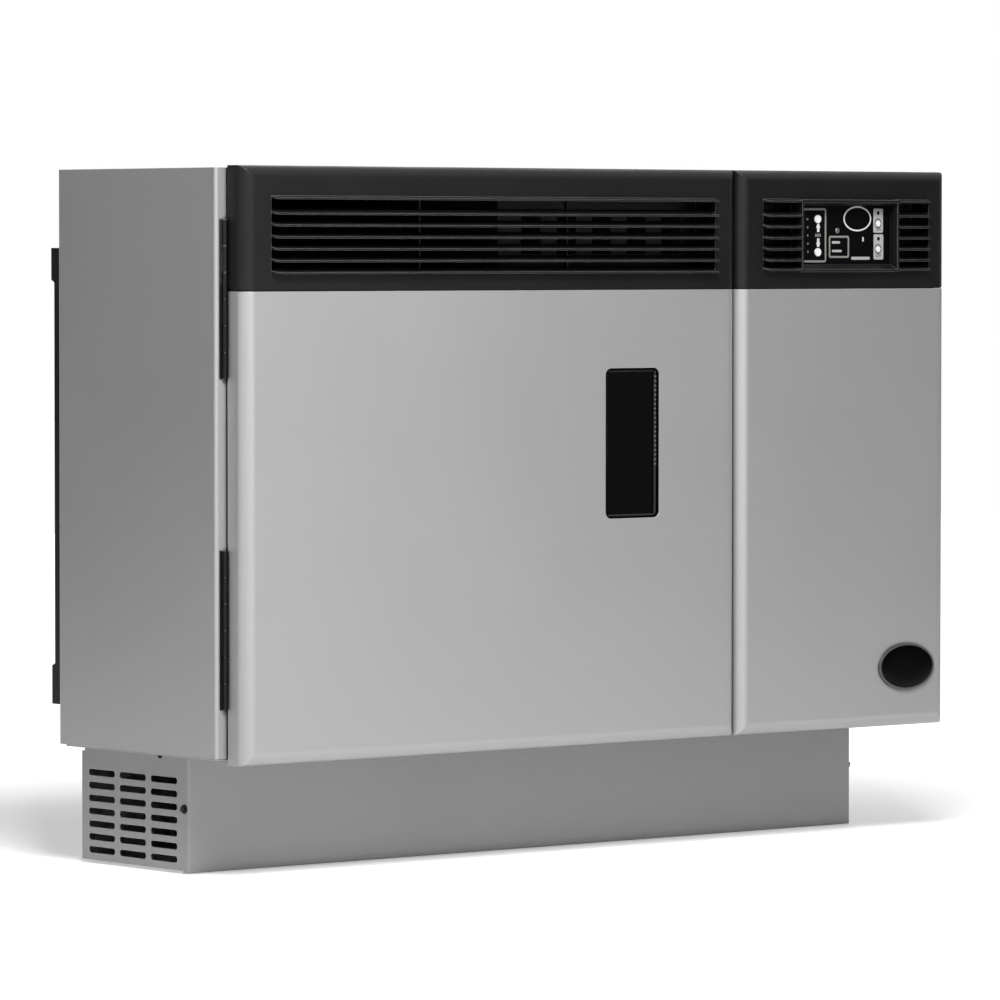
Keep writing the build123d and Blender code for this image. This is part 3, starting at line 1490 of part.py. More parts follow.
with BuildPart() as auger_motor:
    gearbox_start = auger_length + fit
    with BuildSketch(auger_plane.offset(gearbox_start)):
        Rectangle(gearbox_size, gearbox_size)
        Circle(shaft_radius + pin_play, mode=Mode.SUBTRACT)
    extrude(amount=gearbox_length)
    with BuildSketch(auger_plane.offset(gearbox_start + gearbox_length)):
        Rectangle(motor_size, motor_size)
    extrude(amount=motor_length)
auger_motor.part.label = "auger_motor"
export_step(auger_motor.part, "parts/auger_motor.step")

# Hopper and its lid
hopper_left = bulkhead_x + sheet + hopper_margin
hopper_right = case_right - sheet - hopper_margin
hopper_y0 = case_front + hopper_front
hopper_y1 = case_back - hopper_back
hopper_top = case_top - sheet - fit
hopper_knee = hopper_top - hopper_straight


def funnel_profile(near, far, throat_near, throat_far, reach):
    """One elevation of the hopper, straight at the top and tapering to the throat."""
    with BuildSketch() as profile:
        with BuildLine():
            Polyline(
                (near, hopper_top + reach),
                (near, hopper_knee),
                (throat_near, throat_z + throat_neck),
                (throat_near, throat_z - reach),
                (throat_far, throat_z - reach),
                (throat_far, throat_z + throat_neck),
                (far, hopper_knee),
                (far, hopper_top + reach),
                close=True,
            )
        make_face()
    return profile.sketch


def hopper_solid(inset):
    """The hopper's outline where its front and side elevations meet, shrunk by a wall."""
    reach = 1 if inset else 0
    half_width = feed_box_width / 2 - inset
    half_depth = feed_box_depth / 2 - inset
    left, right = hopper_left + inset, hopper_right - inset
    front, back = hopper_y0 + inset, hopper_y1 - inset
    with BuildPart() as shape:
        with BuildSketch(room_plane(back)):
            add(funnel_profile(left, right, feed_x - half_width, feed_x + half_width, reach))
        extrude(amount=back - front)
        with BuildSketch(side_plane(left)):
            add(funnel_profile(front, back, feed_y - half_depth, feed_y + half_depth, reach))
        extrude(amount=right - left, mode=Mode.INTERSECT)
    return shape.part


hopper_outer = hopper_solid(0)
hopper_hollow = hopper_solid(sheet)
with BuildPart() as hopper:
    add(hopper_outer)
    with BuildSketch(Plane.XY.offset(hopper_top - sheet)):
        with Locations(((hopper_left + hopper_right) / 2, (hopper_y0 + hopper_y1) / 2)):
            Rectangle(
                hopper_right - hopper_left + 2 * hopper_flange, hopper_y1 - hopper_y0 + 2 * hopper_flange
            )
    extrude(amount=sheet)
    with BuildSketch(Plane.XY.offset(throat_z)):
        with Locations((feed_x, feed_y)):
            Rectangle(feed_box_width + 2 * feed_flange, feed_box_depth + 2 * feed_flange)
    extrude(amount=sheet)
    add(hopper_hollow, mode=Mode.SUBTRACT)
hopper.part.label = "hopper"
export_step(hopper.part, "parts/hopper.step")

lid_front = mouth_front - lid_overlap
lid_back = mouth_back + lid_rear_overlap
lid_width = mouth_width + 2 * lid_overlap
lid_low = case_top + fit
lid_hinge_y = lid_back + lid_knuckle_radius + 1
lid_hinge_z = case_top + lid_knuckle_radius + 0.4
lid_knuckle_pitch = lid_hinge_length / lid_hinge_knuckles


def lid_knuckle_lefts(first):
    """Left ends of every second knuckle of the lid's hinge."""
    start = mouth_x - lid_hinge_length / 2 + knuckle_gap / 2
    return [start + lid_knuckle_pitch * step for step in range(first, lid_hinge_knuckles, 2)]


with BuildPart() as hopper_lid:
    with BuildSketch(Plane.XY.offset(lid_low)):
        with Locations((mouth_x, (lid_front + lid_back) / 2)):
            RectangleRounded(lid_width, lid_back - lid_front, 8)
    extrude(amount=sheet)
    with BuildSketch(Plane.XY.offset(lid_low + sheet)):
        with Locations((mouth_x, lid_front + lid_pull_depth / 2)):
            RectangleRounded(lid_pull_width, lid_pull_depth, 2)
    extrude(amount=lid_pull_height)
    for knuckle_left in lid_knuckle_lefts(1):
        with BuildSketch(side_plane(knuckle_left)):
            with Locations((lid_back, lid_low + sheet / 2)):
                Rectangle(2 * (lid_hinge_y - lid_back - lid_pin_radius - 0.4), sheet)
            with Locations((lid_hinge_y, lid_hinge_z)):
                add(knuckle_section(lid_knuckle_radius, lid_pin_radius + pin_play))
        extrude(amount=lid_knuckle_pitch - knuckle_gap)
hopper_lid.part.label = "hopper_lid"
export_step(hopper_lid.part, "parts/hopper_lid.step")

with BuildPart() as lid_hinge:
    leaf_near = lid_hinge_y + lid_knuckle_radius + knuckle_gap
    leaf_far = lid_hinge_y + 10
    with BuildSketch(Plane.XY.offset(case_top)):
        with Locations((mouth_x, (leaf_near + leaf_far) / 2)):
            Rectangle(lid_hinge_length, leaf_far - leaf_near)
    extrude(amount=1)
    for knuckle_left in lid_knuckle_lefts(0):
        with BuildSketch(side_plane(knuckle_left)):
            with Locations(((leaf_near + lid_hinge_y) / 2 + lid_pin_radius, case_top + 0.9)):
                Rectangle(leaf_near - lid_hinge_y - lid_pin_radius, 1)
            with Locations((lid_hinge_y, lid_hinge_z)):
                RegularPolygon(lid_knuckle_radius, 8, rotation=22.5)
        extrude(amount=lid_knuckle_pitch - knuckle_gap)
    with BuildSketch(side_plane(mouth_x - lid_hinge_length / 2)):
        with Locations((lid_hinge_y, lid_hinge_z)):
            Circle(lid_pin_radius)
    extrude(amount=lid_hinge_length)
lid_hinge.part.label = "lid_hinge"
export_step(lid_hinge.part, "parts/lid_hinge.step")

with BuildPart() as lid_gasket:
    gasket_outer_width = mouth_width - 2 * gasket_gap
    gasket_outer_depth = mouth_depth - 2 * gasket_gap
    with BuildSketch(Plane.XY.offset(lid_low - gasket_depth)):
        with Locations((mouth_x, (mouth_front + mouth_back) / 2)):
            Rectangle(gasket_outer_width, gasket_outer_depth)
            Rectangle(
                gasket_outer_width - 2 * gasket_width,
                gasket_outer_depth - 2 * gasket_width,
                mode=Mode.SUBTRACT,
            )
    extrude(amount=gasket_depth)
lid_gasket.part.label = "lid_gasket"
export_step(lid_gasket.part, "parts/lid_gasket.step")


def scroll_face(base_radius, growth, outlet, wall):
    """A folded blower housing: flats round a growing spiral and an outlet along +Y, shrunk by a wall."""
    turns = [scroll_start + scroll_flat * step for step in range(scroll_flats - 1)]
    radii = [base_radius - wall + growth * step for step in range(scroll_flats - 1)]
    points = [(radius * math.cos(turn), radius * math.sin(turn)) for radius, turn in zip(radii, turns)]
    inner_x = base_radius * math.cos(scroll_start) + wall
    reach = outlet + (1 if wall else 0)
    tongue = [(inner_x, points[0][1])] if wall else []
    with BuildSketch() as scroll:
        with BuildLine():
            Polyline(*points, (points[-1][0], reach), (inner_x, reach), *tongue, close=True)
        make_face()
    return scroll.sketch


# Room air blower
blower_plane = Plane(origin=(blower_left, blower_y, blower_z), x_dir=(0, 1, 0), z_dir=(1, 0, 0))
with BuildPart() as blower_housing:
    with BuildSketch(blower_plane):
        add(scroll_face(blower_base_radius, blower_growth, blower_outlet, 0))
    extrude(amount=blower_width)
    for foot_y in (-46, 46):
        with BuildSketch(Plane.XY.offset(case_bottom)):
            with Locations((blower_left + blower_width / 2, blower_y + foot_y)):
                Rectangle(blower_width, 2)
        extrude(amount=blower_rise - 30)
        with BuildSketch(Plane.XY.offset(case_bottom)):
            with Locations((blower_left + blower_width / 2, blower_y + foot_y * 1.2)):
                Rectangle(blower_width, abs(foot_y) * 0.4)
        extrude(amount=2)
    with BuildSketch(blower_plane.offset(sheet)):
        add(scroll_face(blower_base_radius, blower_growth, blower_outlet, sheet))
    extrude(amount=blower_width - 2 * sheet, mode=Mode.SUBTRACT)
    with BuildSketch(blower_plane.offset(blower_width - 3)):
        Circle(blower_inlet_radius)
    extrude(amount=4, mode=Mode.SUBTRACT)
    with BuildSketch(blower_plane.offset(-1)):
        Circle(shaft_radius + 1)
    extrude(amount=4, mode=Mode.SUBTRACT)
blower_housing.part.label = "blower_housing"
export_step(blower_housing.part, "parts/blower_housing.step")

with BuildPart() as blower_wheel:
    wheel_start = blower_width - wheel_length - (blower_width - wheel_length) / 2
    ring_radius = wheel_radius - blade_depth
    with BuildSketch(blower_plane.offset(wheel_start)):
        RegularPolygon(wheel_radius, wheel_blades)
    extrude(amount=wheel_plate)
    with BuildSketch(blower_plane.offset(wheel_start + wheel_length - wheel_plate)):
        RegularPolygon(wheel_radius, wheel_blades)
        RegularPolygon(ring_radius, wheel_blades, mode=Mode.SUBTRACT)
    extrude(amount=wheel_plate)
    with BuildSketch(blower_plane.offset(wheel_start + wheel_plate)):
        with PolarLocations((wheel_radius + ring_radius) / 2, wheel_blades):
            Rectangle(blade_depth * 0.8, 1.4)
    extrude(amount=wheel_length - 2 * wheel_plate)
    with BuildSketch(blower_plane.offset(-blower_motor_length / 2)):
        Circle(shaft_radius)
    extrude(amount=blower_motor_length / 2 + wheel_start)
blower_wheel.part.label = "blower_wheel"
export_step(blower_wheel.part, "parts/blower_wheel.step")

with BuildPart() as blower_motor:
    with BuildSketch(blower_plane):
        Rectangle(motor_frame, motor_frame)
        Circle(shaft_radius + pin_play, mode=Mode.SUBTRACT)
    extrude(amount=-blower_motor_length)
    with BuildSketch(blower_plane.offset(-blower_motor_length / 4)):
        with Locations((0, motor_frame / 2)):
            Rectangle(motor_frame * 0.6, motor_coil)
    extrude(amount=-blower_motor_length / 2)
blower_motor.part.label = "blower_motor"
export_step(blower_motor.part, "parts/blower_motor.step")

# Exhaust blower and flue outlet
exhaust_x = bulkhead_x + sheet + exhaust_gap
exhaust_plane = Plane(origin=(exhaust_x, exhaust_y, exhaust_z), x_dir=(0, 0, -1), z_dir=(1, 0, 0))
exhaust_reach = exhaust_x - firebox_right - fit
with BuildPart() as exhaust_housing:
    with BuildSketch(exhaust_plane):
        add(scroll_face(exhaust_base_radius, exhaust_growth, exhaust_outlet, 0))
    extrude(amount=exhaust_width)
    with BuildSketch(exhaust_plane):
        Rectangle(exhaust_inlet, exhaust_inlet)
    extrude(amount=-exhaust_reach)
    with BuildSketch(exhaust_plane.offset(2)):
        add(scroll_face(exhaust_base_radius, exhaust_growth, exhaust_outlet, 2))
    extrude(amount=exhaust_width - 4, mode=Mode.SUBTRACT)
    with BuildSketch(exhaust_plane.offset(3)):
        Rectangle(exhaust_inlet - 4, exhaust_inlet - 4)
    extrude(amount=-exhaust_reach - 4, mode=Mode.SUBTRACT)
    with BuildSketch(exhaust_plane.offset(exhaust_width - 3)):
        Circle(shaft_radius + 1)
    extrude(amount=4, mode=Mode.SUBTRACT)
exhaust_housing.part.label = "exhaust_housing"
export_step(exhaust_housing.part, "parts/exhaust_housing.step")

with BuildPart() as exhaust_impeller:
    impeller_start = (exhaust_width - impeller_width) / 2
    with BuildSketch(exhaust_plane.offset(impeller_start + impeller_width - 2)):
        RegularPolygon(impeller_radius, impeller_blades)
    extrude(amount=2)
    with BuildSketch(exhaust_plane.offset(impeller_start)):
        with PolarLocations(impeller_radius * 0.6, impeller_blades):
            Rectangle(impeller_radius * 0.75, 1.6)
    extrude(amount=impeller_width - 2)
    with BuildSketch(exhaust_plane.offset(impeller_start + impeller_width)):
        Circle(shaft_radius)
    extrude(amount=exhaust_width / 2 + 10)
exhaust_impeller.part.label = "exhaust_impeller"
export_step(exhaust_impeller.part, "parts/exhaust_impeller.step")

with BuildPart() as exhaust_motor:
    with BuildSketch(exhaust_plane.offset(exhaust_width)):
        Rectangle(motor_frame, motor_frame)
        Circle(shaft_radius + pin_play, mode=Mode.SUBTRACT)
    extrude(amount=exhaust_motor_length)
    with BuildSketch(exhaust_plane.offset(exhaust_width + exhaust_motor_length / 4)):
        with Locations((0, motor_frame / 2)):
            Rectangle(motor_frame * 0.6, motor_coil)
    extrude(amount=exhaust_motor_length / 2)
exhaust_motor.part.label = "exhaust_motor"
export_step(exhaust_motor.part, "parts/exhaust_motor.step")

outlet_height = scroll_side - scroll_inner
with BuildPart() as flue_outlet:
    outlet_y = exhaust_y + exhaust_outlet + fit
    outlet_x = exhaust_x + exhaust_width / 2
    pipe_end = case_back + stub_length
    with BuildSketch(room_plane(outlet_y + flue_box_depth)):
        with Locations((outlet_x, flue_z)):
            Rectangle(2 * flue_collar + 3, 2 * flue_collar + 3)
    extrude(amount=flue_box_depth)
    with BuildSketch(room_plane(case_back)):
        with Locations((outlet_x, flue_z)):
            Circle(flue_collar)
    extrude(amount=case_back - outlet_y - flue_box_depth)
    with BuildSketch(room_plane(pipe_end)):
        with Locations((outlet_x, flue_z)):
            Circle(flue_radius)
    extrude(amount=stub_length)
    with BuildSketch(room_plane(pipe_end)):
        with Locations((outlet_x, flue_z)):
            Circle(flue_radius - 2)
    extrude(amount=pipe_end - outlet_y - 2, mode=Mode.SUBTRACT)
    with BuildSketch(room_plane(outlet_y + 3)):
        with Locations((outlet_x, flue_z)):
            Rectangle(exhaust_width - 4, outlet_height - 4)
    extrude(amount=4, mode=Mode.SUBTRACT)
flue_outlet.part.label = "flue_outlet"
export_step(flue_outlet.part, "parts/flue_outlet.step")

# Power inlet
with BuildPart() as power_inlet:
    with BuildSketch(room_plane(case_back)):
        with Locations((inlet_x, inlet_z)):
            Rectangle(inlet_width, inlet_height)
    extrude(amount=inlet_depth)
    with BuildSketch(room_plane(case_back + 2)):
        with Locations((inlet_x, inlet_z)):
            Rectangle(inlet_width + 20, inlet_height + 6)
    extrude(amount=2 + sheet)
    with BuildSketch(room_plane(case_back + 2)):
        with Locations((inlet_x, inlet_z)):
            Rectangle(inlet_width - 5, inlet_height - 5)
    extrude(amount=inlet_depth - 3, mode=Mode.SUBTRACT)
    with BuildSketch(room_plane(case_back - 2)):
        with Locations((inlet_x, inlet_z)):
            with GridLocations(7, 1, 3, 1):
                Rectangle(1.6, 4)
    extrude(amount=inlet_depth - 6)
power_inlet.part.label = "power_inlet"
export_step(power_inlet.part, "parts/power_inlet.step")
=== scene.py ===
import json
import math

import bmesh
import bpy
from mathutils import Matrix, Vector


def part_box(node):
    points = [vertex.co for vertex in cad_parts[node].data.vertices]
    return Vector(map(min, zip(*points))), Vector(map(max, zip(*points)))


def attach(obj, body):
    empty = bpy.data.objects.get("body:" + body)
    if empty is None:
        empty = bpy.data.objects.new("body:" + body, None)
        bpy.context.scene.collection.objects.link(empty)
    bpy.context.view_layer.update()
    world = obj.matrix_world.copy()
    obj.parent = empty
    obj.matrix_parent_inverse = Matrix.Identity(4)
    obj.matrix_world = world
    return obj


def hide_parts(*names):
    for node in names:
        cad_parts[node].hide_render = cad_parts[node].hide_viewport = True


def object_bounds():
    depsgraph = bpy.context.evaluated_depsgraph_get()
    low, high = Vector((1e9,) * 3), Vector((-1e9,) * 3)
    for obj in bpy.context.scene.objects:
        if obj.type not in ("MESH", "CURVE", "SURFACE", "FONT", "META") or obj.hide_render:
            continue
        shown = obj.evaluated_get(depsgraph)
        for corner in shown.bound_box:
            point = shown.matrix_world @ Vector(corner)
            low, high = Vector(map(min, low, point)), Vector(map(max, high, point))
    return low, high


# A slim pellet stove that hangs on a wall: silver sheet-metal case and covers,
# black louvred grilles, a glazed door and a keypad. The scene is in metres, as
# the frame is; the small pieces are drawn in millimetres and scaled by MM.
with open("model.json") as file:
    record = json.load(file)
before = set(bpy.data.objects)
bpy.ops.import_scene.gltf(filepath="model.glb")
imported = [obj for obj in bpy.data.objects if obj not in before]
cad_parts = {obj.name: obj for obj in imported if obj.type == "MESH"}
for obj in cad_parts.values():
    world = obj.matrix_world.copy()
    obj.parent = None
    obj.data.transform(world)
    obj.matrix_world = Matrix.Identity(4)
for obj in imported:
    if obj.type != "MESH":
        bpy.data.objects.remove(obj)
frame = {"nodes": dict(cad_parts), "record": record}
cad_low, cad_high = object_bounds()
MM = 0.001

# The keypad's printed film: y of its face, and the thickness of the ink on it
FILM_FRONT = -303.9
INK_THICK = 0.06
# The front door's piano hinges: x and y of the pin, the foot of each hinge, the
# knuckles' count, pitch and play, and the leaves' gauge and y of the door leaf's back
HINGE_AXIS = (-460.8, -282.2)
HINGE_LOWS = (-217.65, 98.65)
KNUCKLES, HINGE_PITCH, KNUCKLE_PLAY = 6, 25.4, 0.2
LEAF_GAUGE, DOOR_LEAF_BACK = 1.2, -281.3
# The latch's bar: its two ends in x, and y and z of its axis
GRIP = (87.9, 119.9, -289.5, 40.25)
# Bends sharper than these, in degrees, stay crisp: on sheet metal, and on small pieces
SHEET_FOLD, PIECE_FOLD = 32, 40
# Glow that the floor's paper adds to its own colour, for the eye and mirrors alone
PAPER_GLOW = 0.35


def to_linear(code):
    """An sRGB hex colour as linear red, green, blue and alpha."""
    parts = [int(code[start:start + 2], 16) / 255 for start in (1, 3, 5)]
    return [part / 12.92 if part <= 0.04045 else ((part + 0.055) / 1.055) ** 2.4
            for part in parts] + [1.0]


def put(tree, kind, inputs=None, out=None, **settings):
    """Adds a node with its settings, values and links, and returns one of its outputs."""
    node = tree.nodes.new(kind)
    for name, value in settings.items():
        setattr(node, name, value)
    sockets = {socket.identifier: socket for socket in node.inputs}
    for name, value in (inputs or {}).items():
        if isinstance(value, bpy.types.NodeSocket):
            tree.links.new(value, sockets[name])
        else:
            sockets[name].default_value = value
    if not node.outputs:
        return node
    return node.outputs[out] if out else next(socket for socket in node.outputs if socket.enabled)


def new_material(name):
    """An empty material, its node tree, and the place on the object in metres."""
    material = bpy.data.materials.new(name)
    material.use_nodes = True
    material.node_tree.nodes.clear()
    place = put(material.node_tree, "ShaderNodeTexCoord", out="Object")
    return material, material.node_tree, place


# Finishes of sheet metal
def silver_powder_coat(name, dark, light, smooth, coarse):
    """Polyester powder with metal flake, baked on sheet steel.

    To the eye: a soft metallic sheen over faint orange peel, with a painted highlight
    along edges and painted shade in the seams. The base's coat is smoother, so it mirrors more.
    """
    material, tree, place = new_material(name)
    # Real flake is about 0.1 mm; it is drawn at 0.9 mm so that it shows at all
    flake = put(tree, "ShaderNodeTexNoise", {
        "Vector": place, "Scale": 1 / (0.9 * MM), "Detail": 2.0})
    cloud = put(tree, "ShaderNodeTexNoise", {
        "Vector": place, "Scale": 1 / (160 * MM), "Detail": 3.0})
    peel = put(tree, "ShaderNodeTexNoise", {
        "Vector": place, "Scale": 1 / (2.6 * MM), "Detail": 1.0})
    powder = put(tree, "ShaderNodeMix", {
        "Factor_Float": flake, "A_Color": to_linear(dark), "B_Color": to_linear(light)},
        data_type="RGBA")
    rough = put(tree, "ShaderNodeMapRange", {
        "Value": cloud, "From Min": 0.3, "From Max": 0.7, "To Min": smooth, "To Max": coarse})
    # Edges are rounded by 0.7 mm, and a painted highlight pales the colour along them
    edge = put(tree, "ShaderNodeBevel", {"Radius": 0.7 * MM}, samples=4)
    flat = put(tree, "ShaderNodeNewGeometry", out="True Normal")
    turned = put(tree, "ShaderNodeVectorMath", {"Vector": edge, "Vector_001": flat},
                 out="Value", operation="DOT_PRODUCT")
    edge_highlight_mask = put(tree, "ShaderNodeMapRange", {"Value": turned, "From Min": 0.995, "From Max": 0.80})
    bright = put(tree, "ShaderNodeMix", {
        "Factor_Float": edge_highlight_mask, "A_Color": powder, "B_Color": to_linear("#dcdcdc")},
        data_type="RGBA")
    # Painted shade in seams and gaps, within 5 mm
    sky = put(tree, "ShaderNodeAmbientOcclusion", {"Distance": 5 * MM}, out="AO", samples=6)
    outside_painted_shade = put(tree, "ShaderNodeMapRange", {"Value": sky, "From Min": 0.35, "From Max": 0.75})
    colour = put(tree, "ShaderNodeMix", {
        "Factor_Float": outside_painted_shade, "A_Color": to_linear("#2c2c2d"), "B_Color": bright},
        data_type="RGBA")
    bump = put(tree, "ShaderNodeBump", {"Height": peel, "Distance": 0.012 * MM, "Normal": edge})
    shade = put(tree, "ShaderNodeBsdfPrincipled", {
        "Base Color": colour, "Metallic": 0.45, "Roughness": rough, "Normal": bump})
    put(tree, "ShaderNodeOutputMaterial", {"Surface": shade})
    return material


def black_powder_coat(name, dark, light):
    """Fine-textured black powder, baked on sheet steel.

    To the eye: satin black with a grain that breaks up highlights, painted shade
    behind the blades, and a painted grey highlight along the edges of the louvred covers.
    """
    material, tree, place = new_material(name)
    # Real texture is about 0.3 mm; it is drawn at 0.9 mm so that it shows
    texture = put(tree, "ShaderNodeTexNoise", {
        "Vector": place, "Scale": 1 / (0.9 * MM), "Detail": 2.0})
    cloud = put(tree, "ShaderNodeTexNoise", {
        "Vector": place, "Scale": 1 / (70 * MM), "Detail": 3.0})
    powder = put(tree, "ShaderNodeMix", {
        "Factor_Float": texture, "A_Color": to_linear(dark), "B_Color": to_linear(light)},
        data_type="RGBA")
    rough = put(tree, "ShaderNodeMapRange", {
        "Value": cloud, "From Min": 0.3, "From Max": 0.7, "To Min": 0.38, "To Max": 0.46})
    edge = put(tree, "ShaderNodeBevel", {"Radius": 0.6 * MM}, samples=4)
    flat = put(tree, "ShaderNodeNewGeometry", out="True Normal")
    turned = put(tree, "ShaderNodeVectorMath", {"Vector": edge, "Vector_001": flat},
                 out="Value", operation="DOT_PRODUCT")
    edge_highlight_mask = put(tree, "ShaderNodeMapRange", {"Value": turned, "From Min": 0.995, "From Max": 0.80})
    # A painted highlight along edges, only on the louvred covers above 188 mm
    height = put(tree, "ShaderNodeSeparateXYZ", {"Vector": place}, out="Z")
    by_vents = put(tree, "ShaderNodeMapRange", {
        "Value": height, "From Min": 188 * MM, "From Max": 193 * MM})
    vent_edge_highlight = put(tree, "ShaderNodeMath", {"Value": edge_highlight_mask, "Value_001": by_vents},
                 operation="MULTIPLY")
    with_vent_highlight = put(tree, "ShaderNodeMix", {
        "Factor_Float": vent_edge_highlight, "A_Color": powder, "B_Color": to_linear("#8a8a8c")},
        data_type="RGBA")
    # Shade behind blades and in gaps, within 22 mm
    sky = put(tree, "ShaderNodeAmbientOcclusion", {"Distance": 22 * MM}, out="AO", samples=6)
    outside_painted_shade = put(tree, "ShaderNodeMapRange", {"Value": sky, "From Min": 0.14, "From Max": 0.42})
    colour = put(tree, "ShaderNodeMix", {
        "Factor_Float": outside_painted_shade, "A_Color": to_linear("#020202"), "B_Color": with_vent_highlight},
        data_type="RGBA")
    bump = put(tree, "ShaderNodeBump", {"Height": texture, "Distance": 0.02 * MM, "Normal": edge})
    shade = put(tree, "ShaderNodeBsdfPrincipled", {
        "Base Color": colour, "Roughness": rough, "Specular IOR Level": 0.24, "Normal": bump})
    put(tree, "ShaderNodeOutputMaterial", {"Surface": shade})
    return material


def stove_paint():
    """Heat-resistant silicone paint, sprayed on plate: dead matt black, greyer where hottest."""
    material, tree, place = new_material("stove_paint")
    burnt = put(tree, "ShaderNodeTexNoise", {
        "Vector": place, "Scale": 1 / (55 * MM), "Detail": 4.0})
    pores = put(tree, "ShaderNodeTexNoise", {
        "Vector": place, "Scale": 1 / (1.4 * MM), "Detail": 3.0})
    faded = put(tree, "ShaderNodeMapRange", {"Value": burnt, "From Min": 0.45, "From Max": 0.75})
    colour = put(tree, "ShaderNodeMix", {
        "Factor_Float": faded, "A_Color": to_linear("#1b1a19"), "B_Color": to_linear("#34312f")},
        data_type="RGBA")
    rough = put(tree, "ShaderNodeMapRange", {"Value": pores, "To Min": 0.58, "To Max": 0.80})
    edge = put(tree, "ShaderNodeBevel", {"Radius": 0.4 * MM}, samples=4)
    bump = put(tree, "ShaderNodeBump", {"Height": pores, "Distance": 0.05 * MM, "Normal": edge})
    shade = put(tree, "ShaderNodeBsdfPrincipled", {
        "Base Color": colour, "Roughness": rough, "Normal": bump})
    put(tree, "ShaderNodeOutputMaterial", {"Surface": shade})
    return material


def galvanised_sheet(name, dark_before):
    """Hot-dipped zinc on steel: dull silver crystals of about 9 mm with ragged borders.

    Faces in front of a depth, in metres, are coloured near black, as the back
    sheet's inner face is: painted shade for the inside of the case seen through the louvres.
    """
    material, tree, place = new_material(name)
    warp = put(tree, "ShaderNodeTexNoise", {"Vector": place, "Scale": 1 / (6 * MM)}, out="Color")
    bent = put(tree, "ShaderNodeVectorMath", {"Vector": warp, "Scale": 3 * MM}, operation="SCALE")
    moved = put(tree, "ShaderNodeVectorMath", {"Vector": place, "Vector_001": bent},
                operation="ADD")
    crystal = put(tree, "ShaderNodeTexVoronoi", {
        "Vector": moved, "Scale": 1 / (9 * MM)}, out="Color")
    tone = put(tree, "ShaderNodeSeparateColor", {"Color": crystal}, out="Red")
    zinc = put(tree, "ShaderNodeMix", {
        "Factor_Float": tone, "A_Color": to_linear("#8f9294"), "B_Color": to_linear("#b4b7b8")},
        data_type="RGBA")
    # Painted shade: faces in front of the depth turn near black
    depth = put(tree, "ShaderNodeSeparateXYZ", {"Vector": place}, out="Y")
    bare = put(tree, "ShaderNodeMapRange", {
        "Value": depth, "From Min": dark_before - 0.1 * MM,
        "From Max": dark_before + 0.1 * MM})
    colour = put(tree, "ShaderNodeMix", {
        "Factor_Float": bare, "A_Color": to_linear("#0c0b0b"), "B_Color": zinc},
        data_type="RGBA")
    rough = put(tree, "ShaderNodeMapRange", {"Value": tone, "To Min": 0.34, "To Max": 0.50})
    edge = put(tree, "ShaderNodeBevel", {"Radius": 0.4 * MM}, samples=4)
    shade = put(tree, "ShaderNodeBsdfPrincipled", {
        "Base Color": colour, "Metallic": 0.85, "Roughness": rough, "Normal": edge})
    put(tree, "ShaderNodeOutputMaterial", {"Surface": shade})
    return material


def sooted_cast_iron():
    """Sand-cast iron dulled by fire: coarse grain, with brown-black soot in patches."""
    material, tree, place = new_material("sooted_cast_iron")
    sand = put(tree, "ShaderNodeTexNoise", {
        "Vector": place, "Scale": 1 / (1.6 * MM), "Detail": 4.0})
    soot = put(tree, "ShaderNodeTexNoise", {
        "Vector": place, "Scale": 1 / (22 * MM), "Detail": 3.0})
    colour = put(tree, "ShaderNodeMix", {
        "Factor_Float": soot, "A_Color": to_linear("#211f1d"), "B_Color": to_linear("#4a4642")},
        data_type="RGBA")
    edge = put(tree, "ShaderNodeBevel", {"Radius": 0.8 * MM}, samples=4)
    bump = put(tree, "ShaderNodeBump", {"Height": sand, "Distance": 0.2 * MM, "Normal": edge})
    shade = put(tree, "ShaderNodeBsdfPrincipled", {
        "Base Color": colour, "Metallic": 0.3, "Roughness": 0.78, "Normal": bump})
    put(tree, "ShaderNodeOutputMaterial", {"Surface": shade})
    return material


def turned_steel():
    """Bare steel off the lathe or the roll: bright, with streaks across the part.

    Tool marks are about 0.1 mm apart; the streaks are drawn coarser, so that they show.
    """
    material, tree, place = new_material("turned_steel")
    drawn = put(tree, "ShaderNodeMapping", {"Vector": place, "Scale": (1, 1, 12)})
    streak = put(tree, "ShaderNodeTexNoise", {
        "Vector": drawn, "Scale": 1 / (4 * MM), "Detail": 2.0})
    rough = put(tree, "ShaderNodeMapRange", {"Value": streak, "To Min": 0.22, "To Max": 0.42})
    colour = put(tree, "ShaderNodeMix", {
        "Factor_Float": streak, "A_Color": to_linear("#9c9c9b"), "B_Color": to_linear("#c2c2c0")},
        data_type="RGBA")
    edge = put(tree, "ShaderNodeBevel", {"Radius": 0.3 * MM}, samples=4)
    shade = put(tree, "ShaderNodeBsdfPrincipled", {
        "Base Color": colour, "Metallic": 1.0, "Roughness": rough, "Normal": edge})
    put(tree, "ShaderNodeOutputMaterial", {"Surface": shade})
    return material


def motor_enamel():
    """Black stoving enamel, dipped on pressed motor shells: smooth, half gloss."""
    material, tree, place = new_material("motor_enamel")
    dust = put(tree, "ShaderNodeTexNoise", {
        "Vector": place, "Scale": 1 / (30 * MM), "Detail": 4.0})
    rough = put(tree, "ShaderNodeMapRange", {"Value": dust, "To Min": 0.30, "To Max": 0.50})
    colour = put(tree, "ShaderNodeMix", {
        "Factor_Float": dust, "A_Color": to_linear("#191a1c"), "B_Color": to_linear("#26272a")},
        data_type="RGBA")
    edge = put(tree, "ShaderNodeBevel", {"Radius": 0.5 * MM}, samples=4)
    shade = put(tree, "ShaderNodeBsdfPrincipled", {
        "Base Color": colour, "Roughness": rough, "Normal": edge})
    put(tree, "ShaderNodeOutputMaterial", {"Surface": shade})
    return material


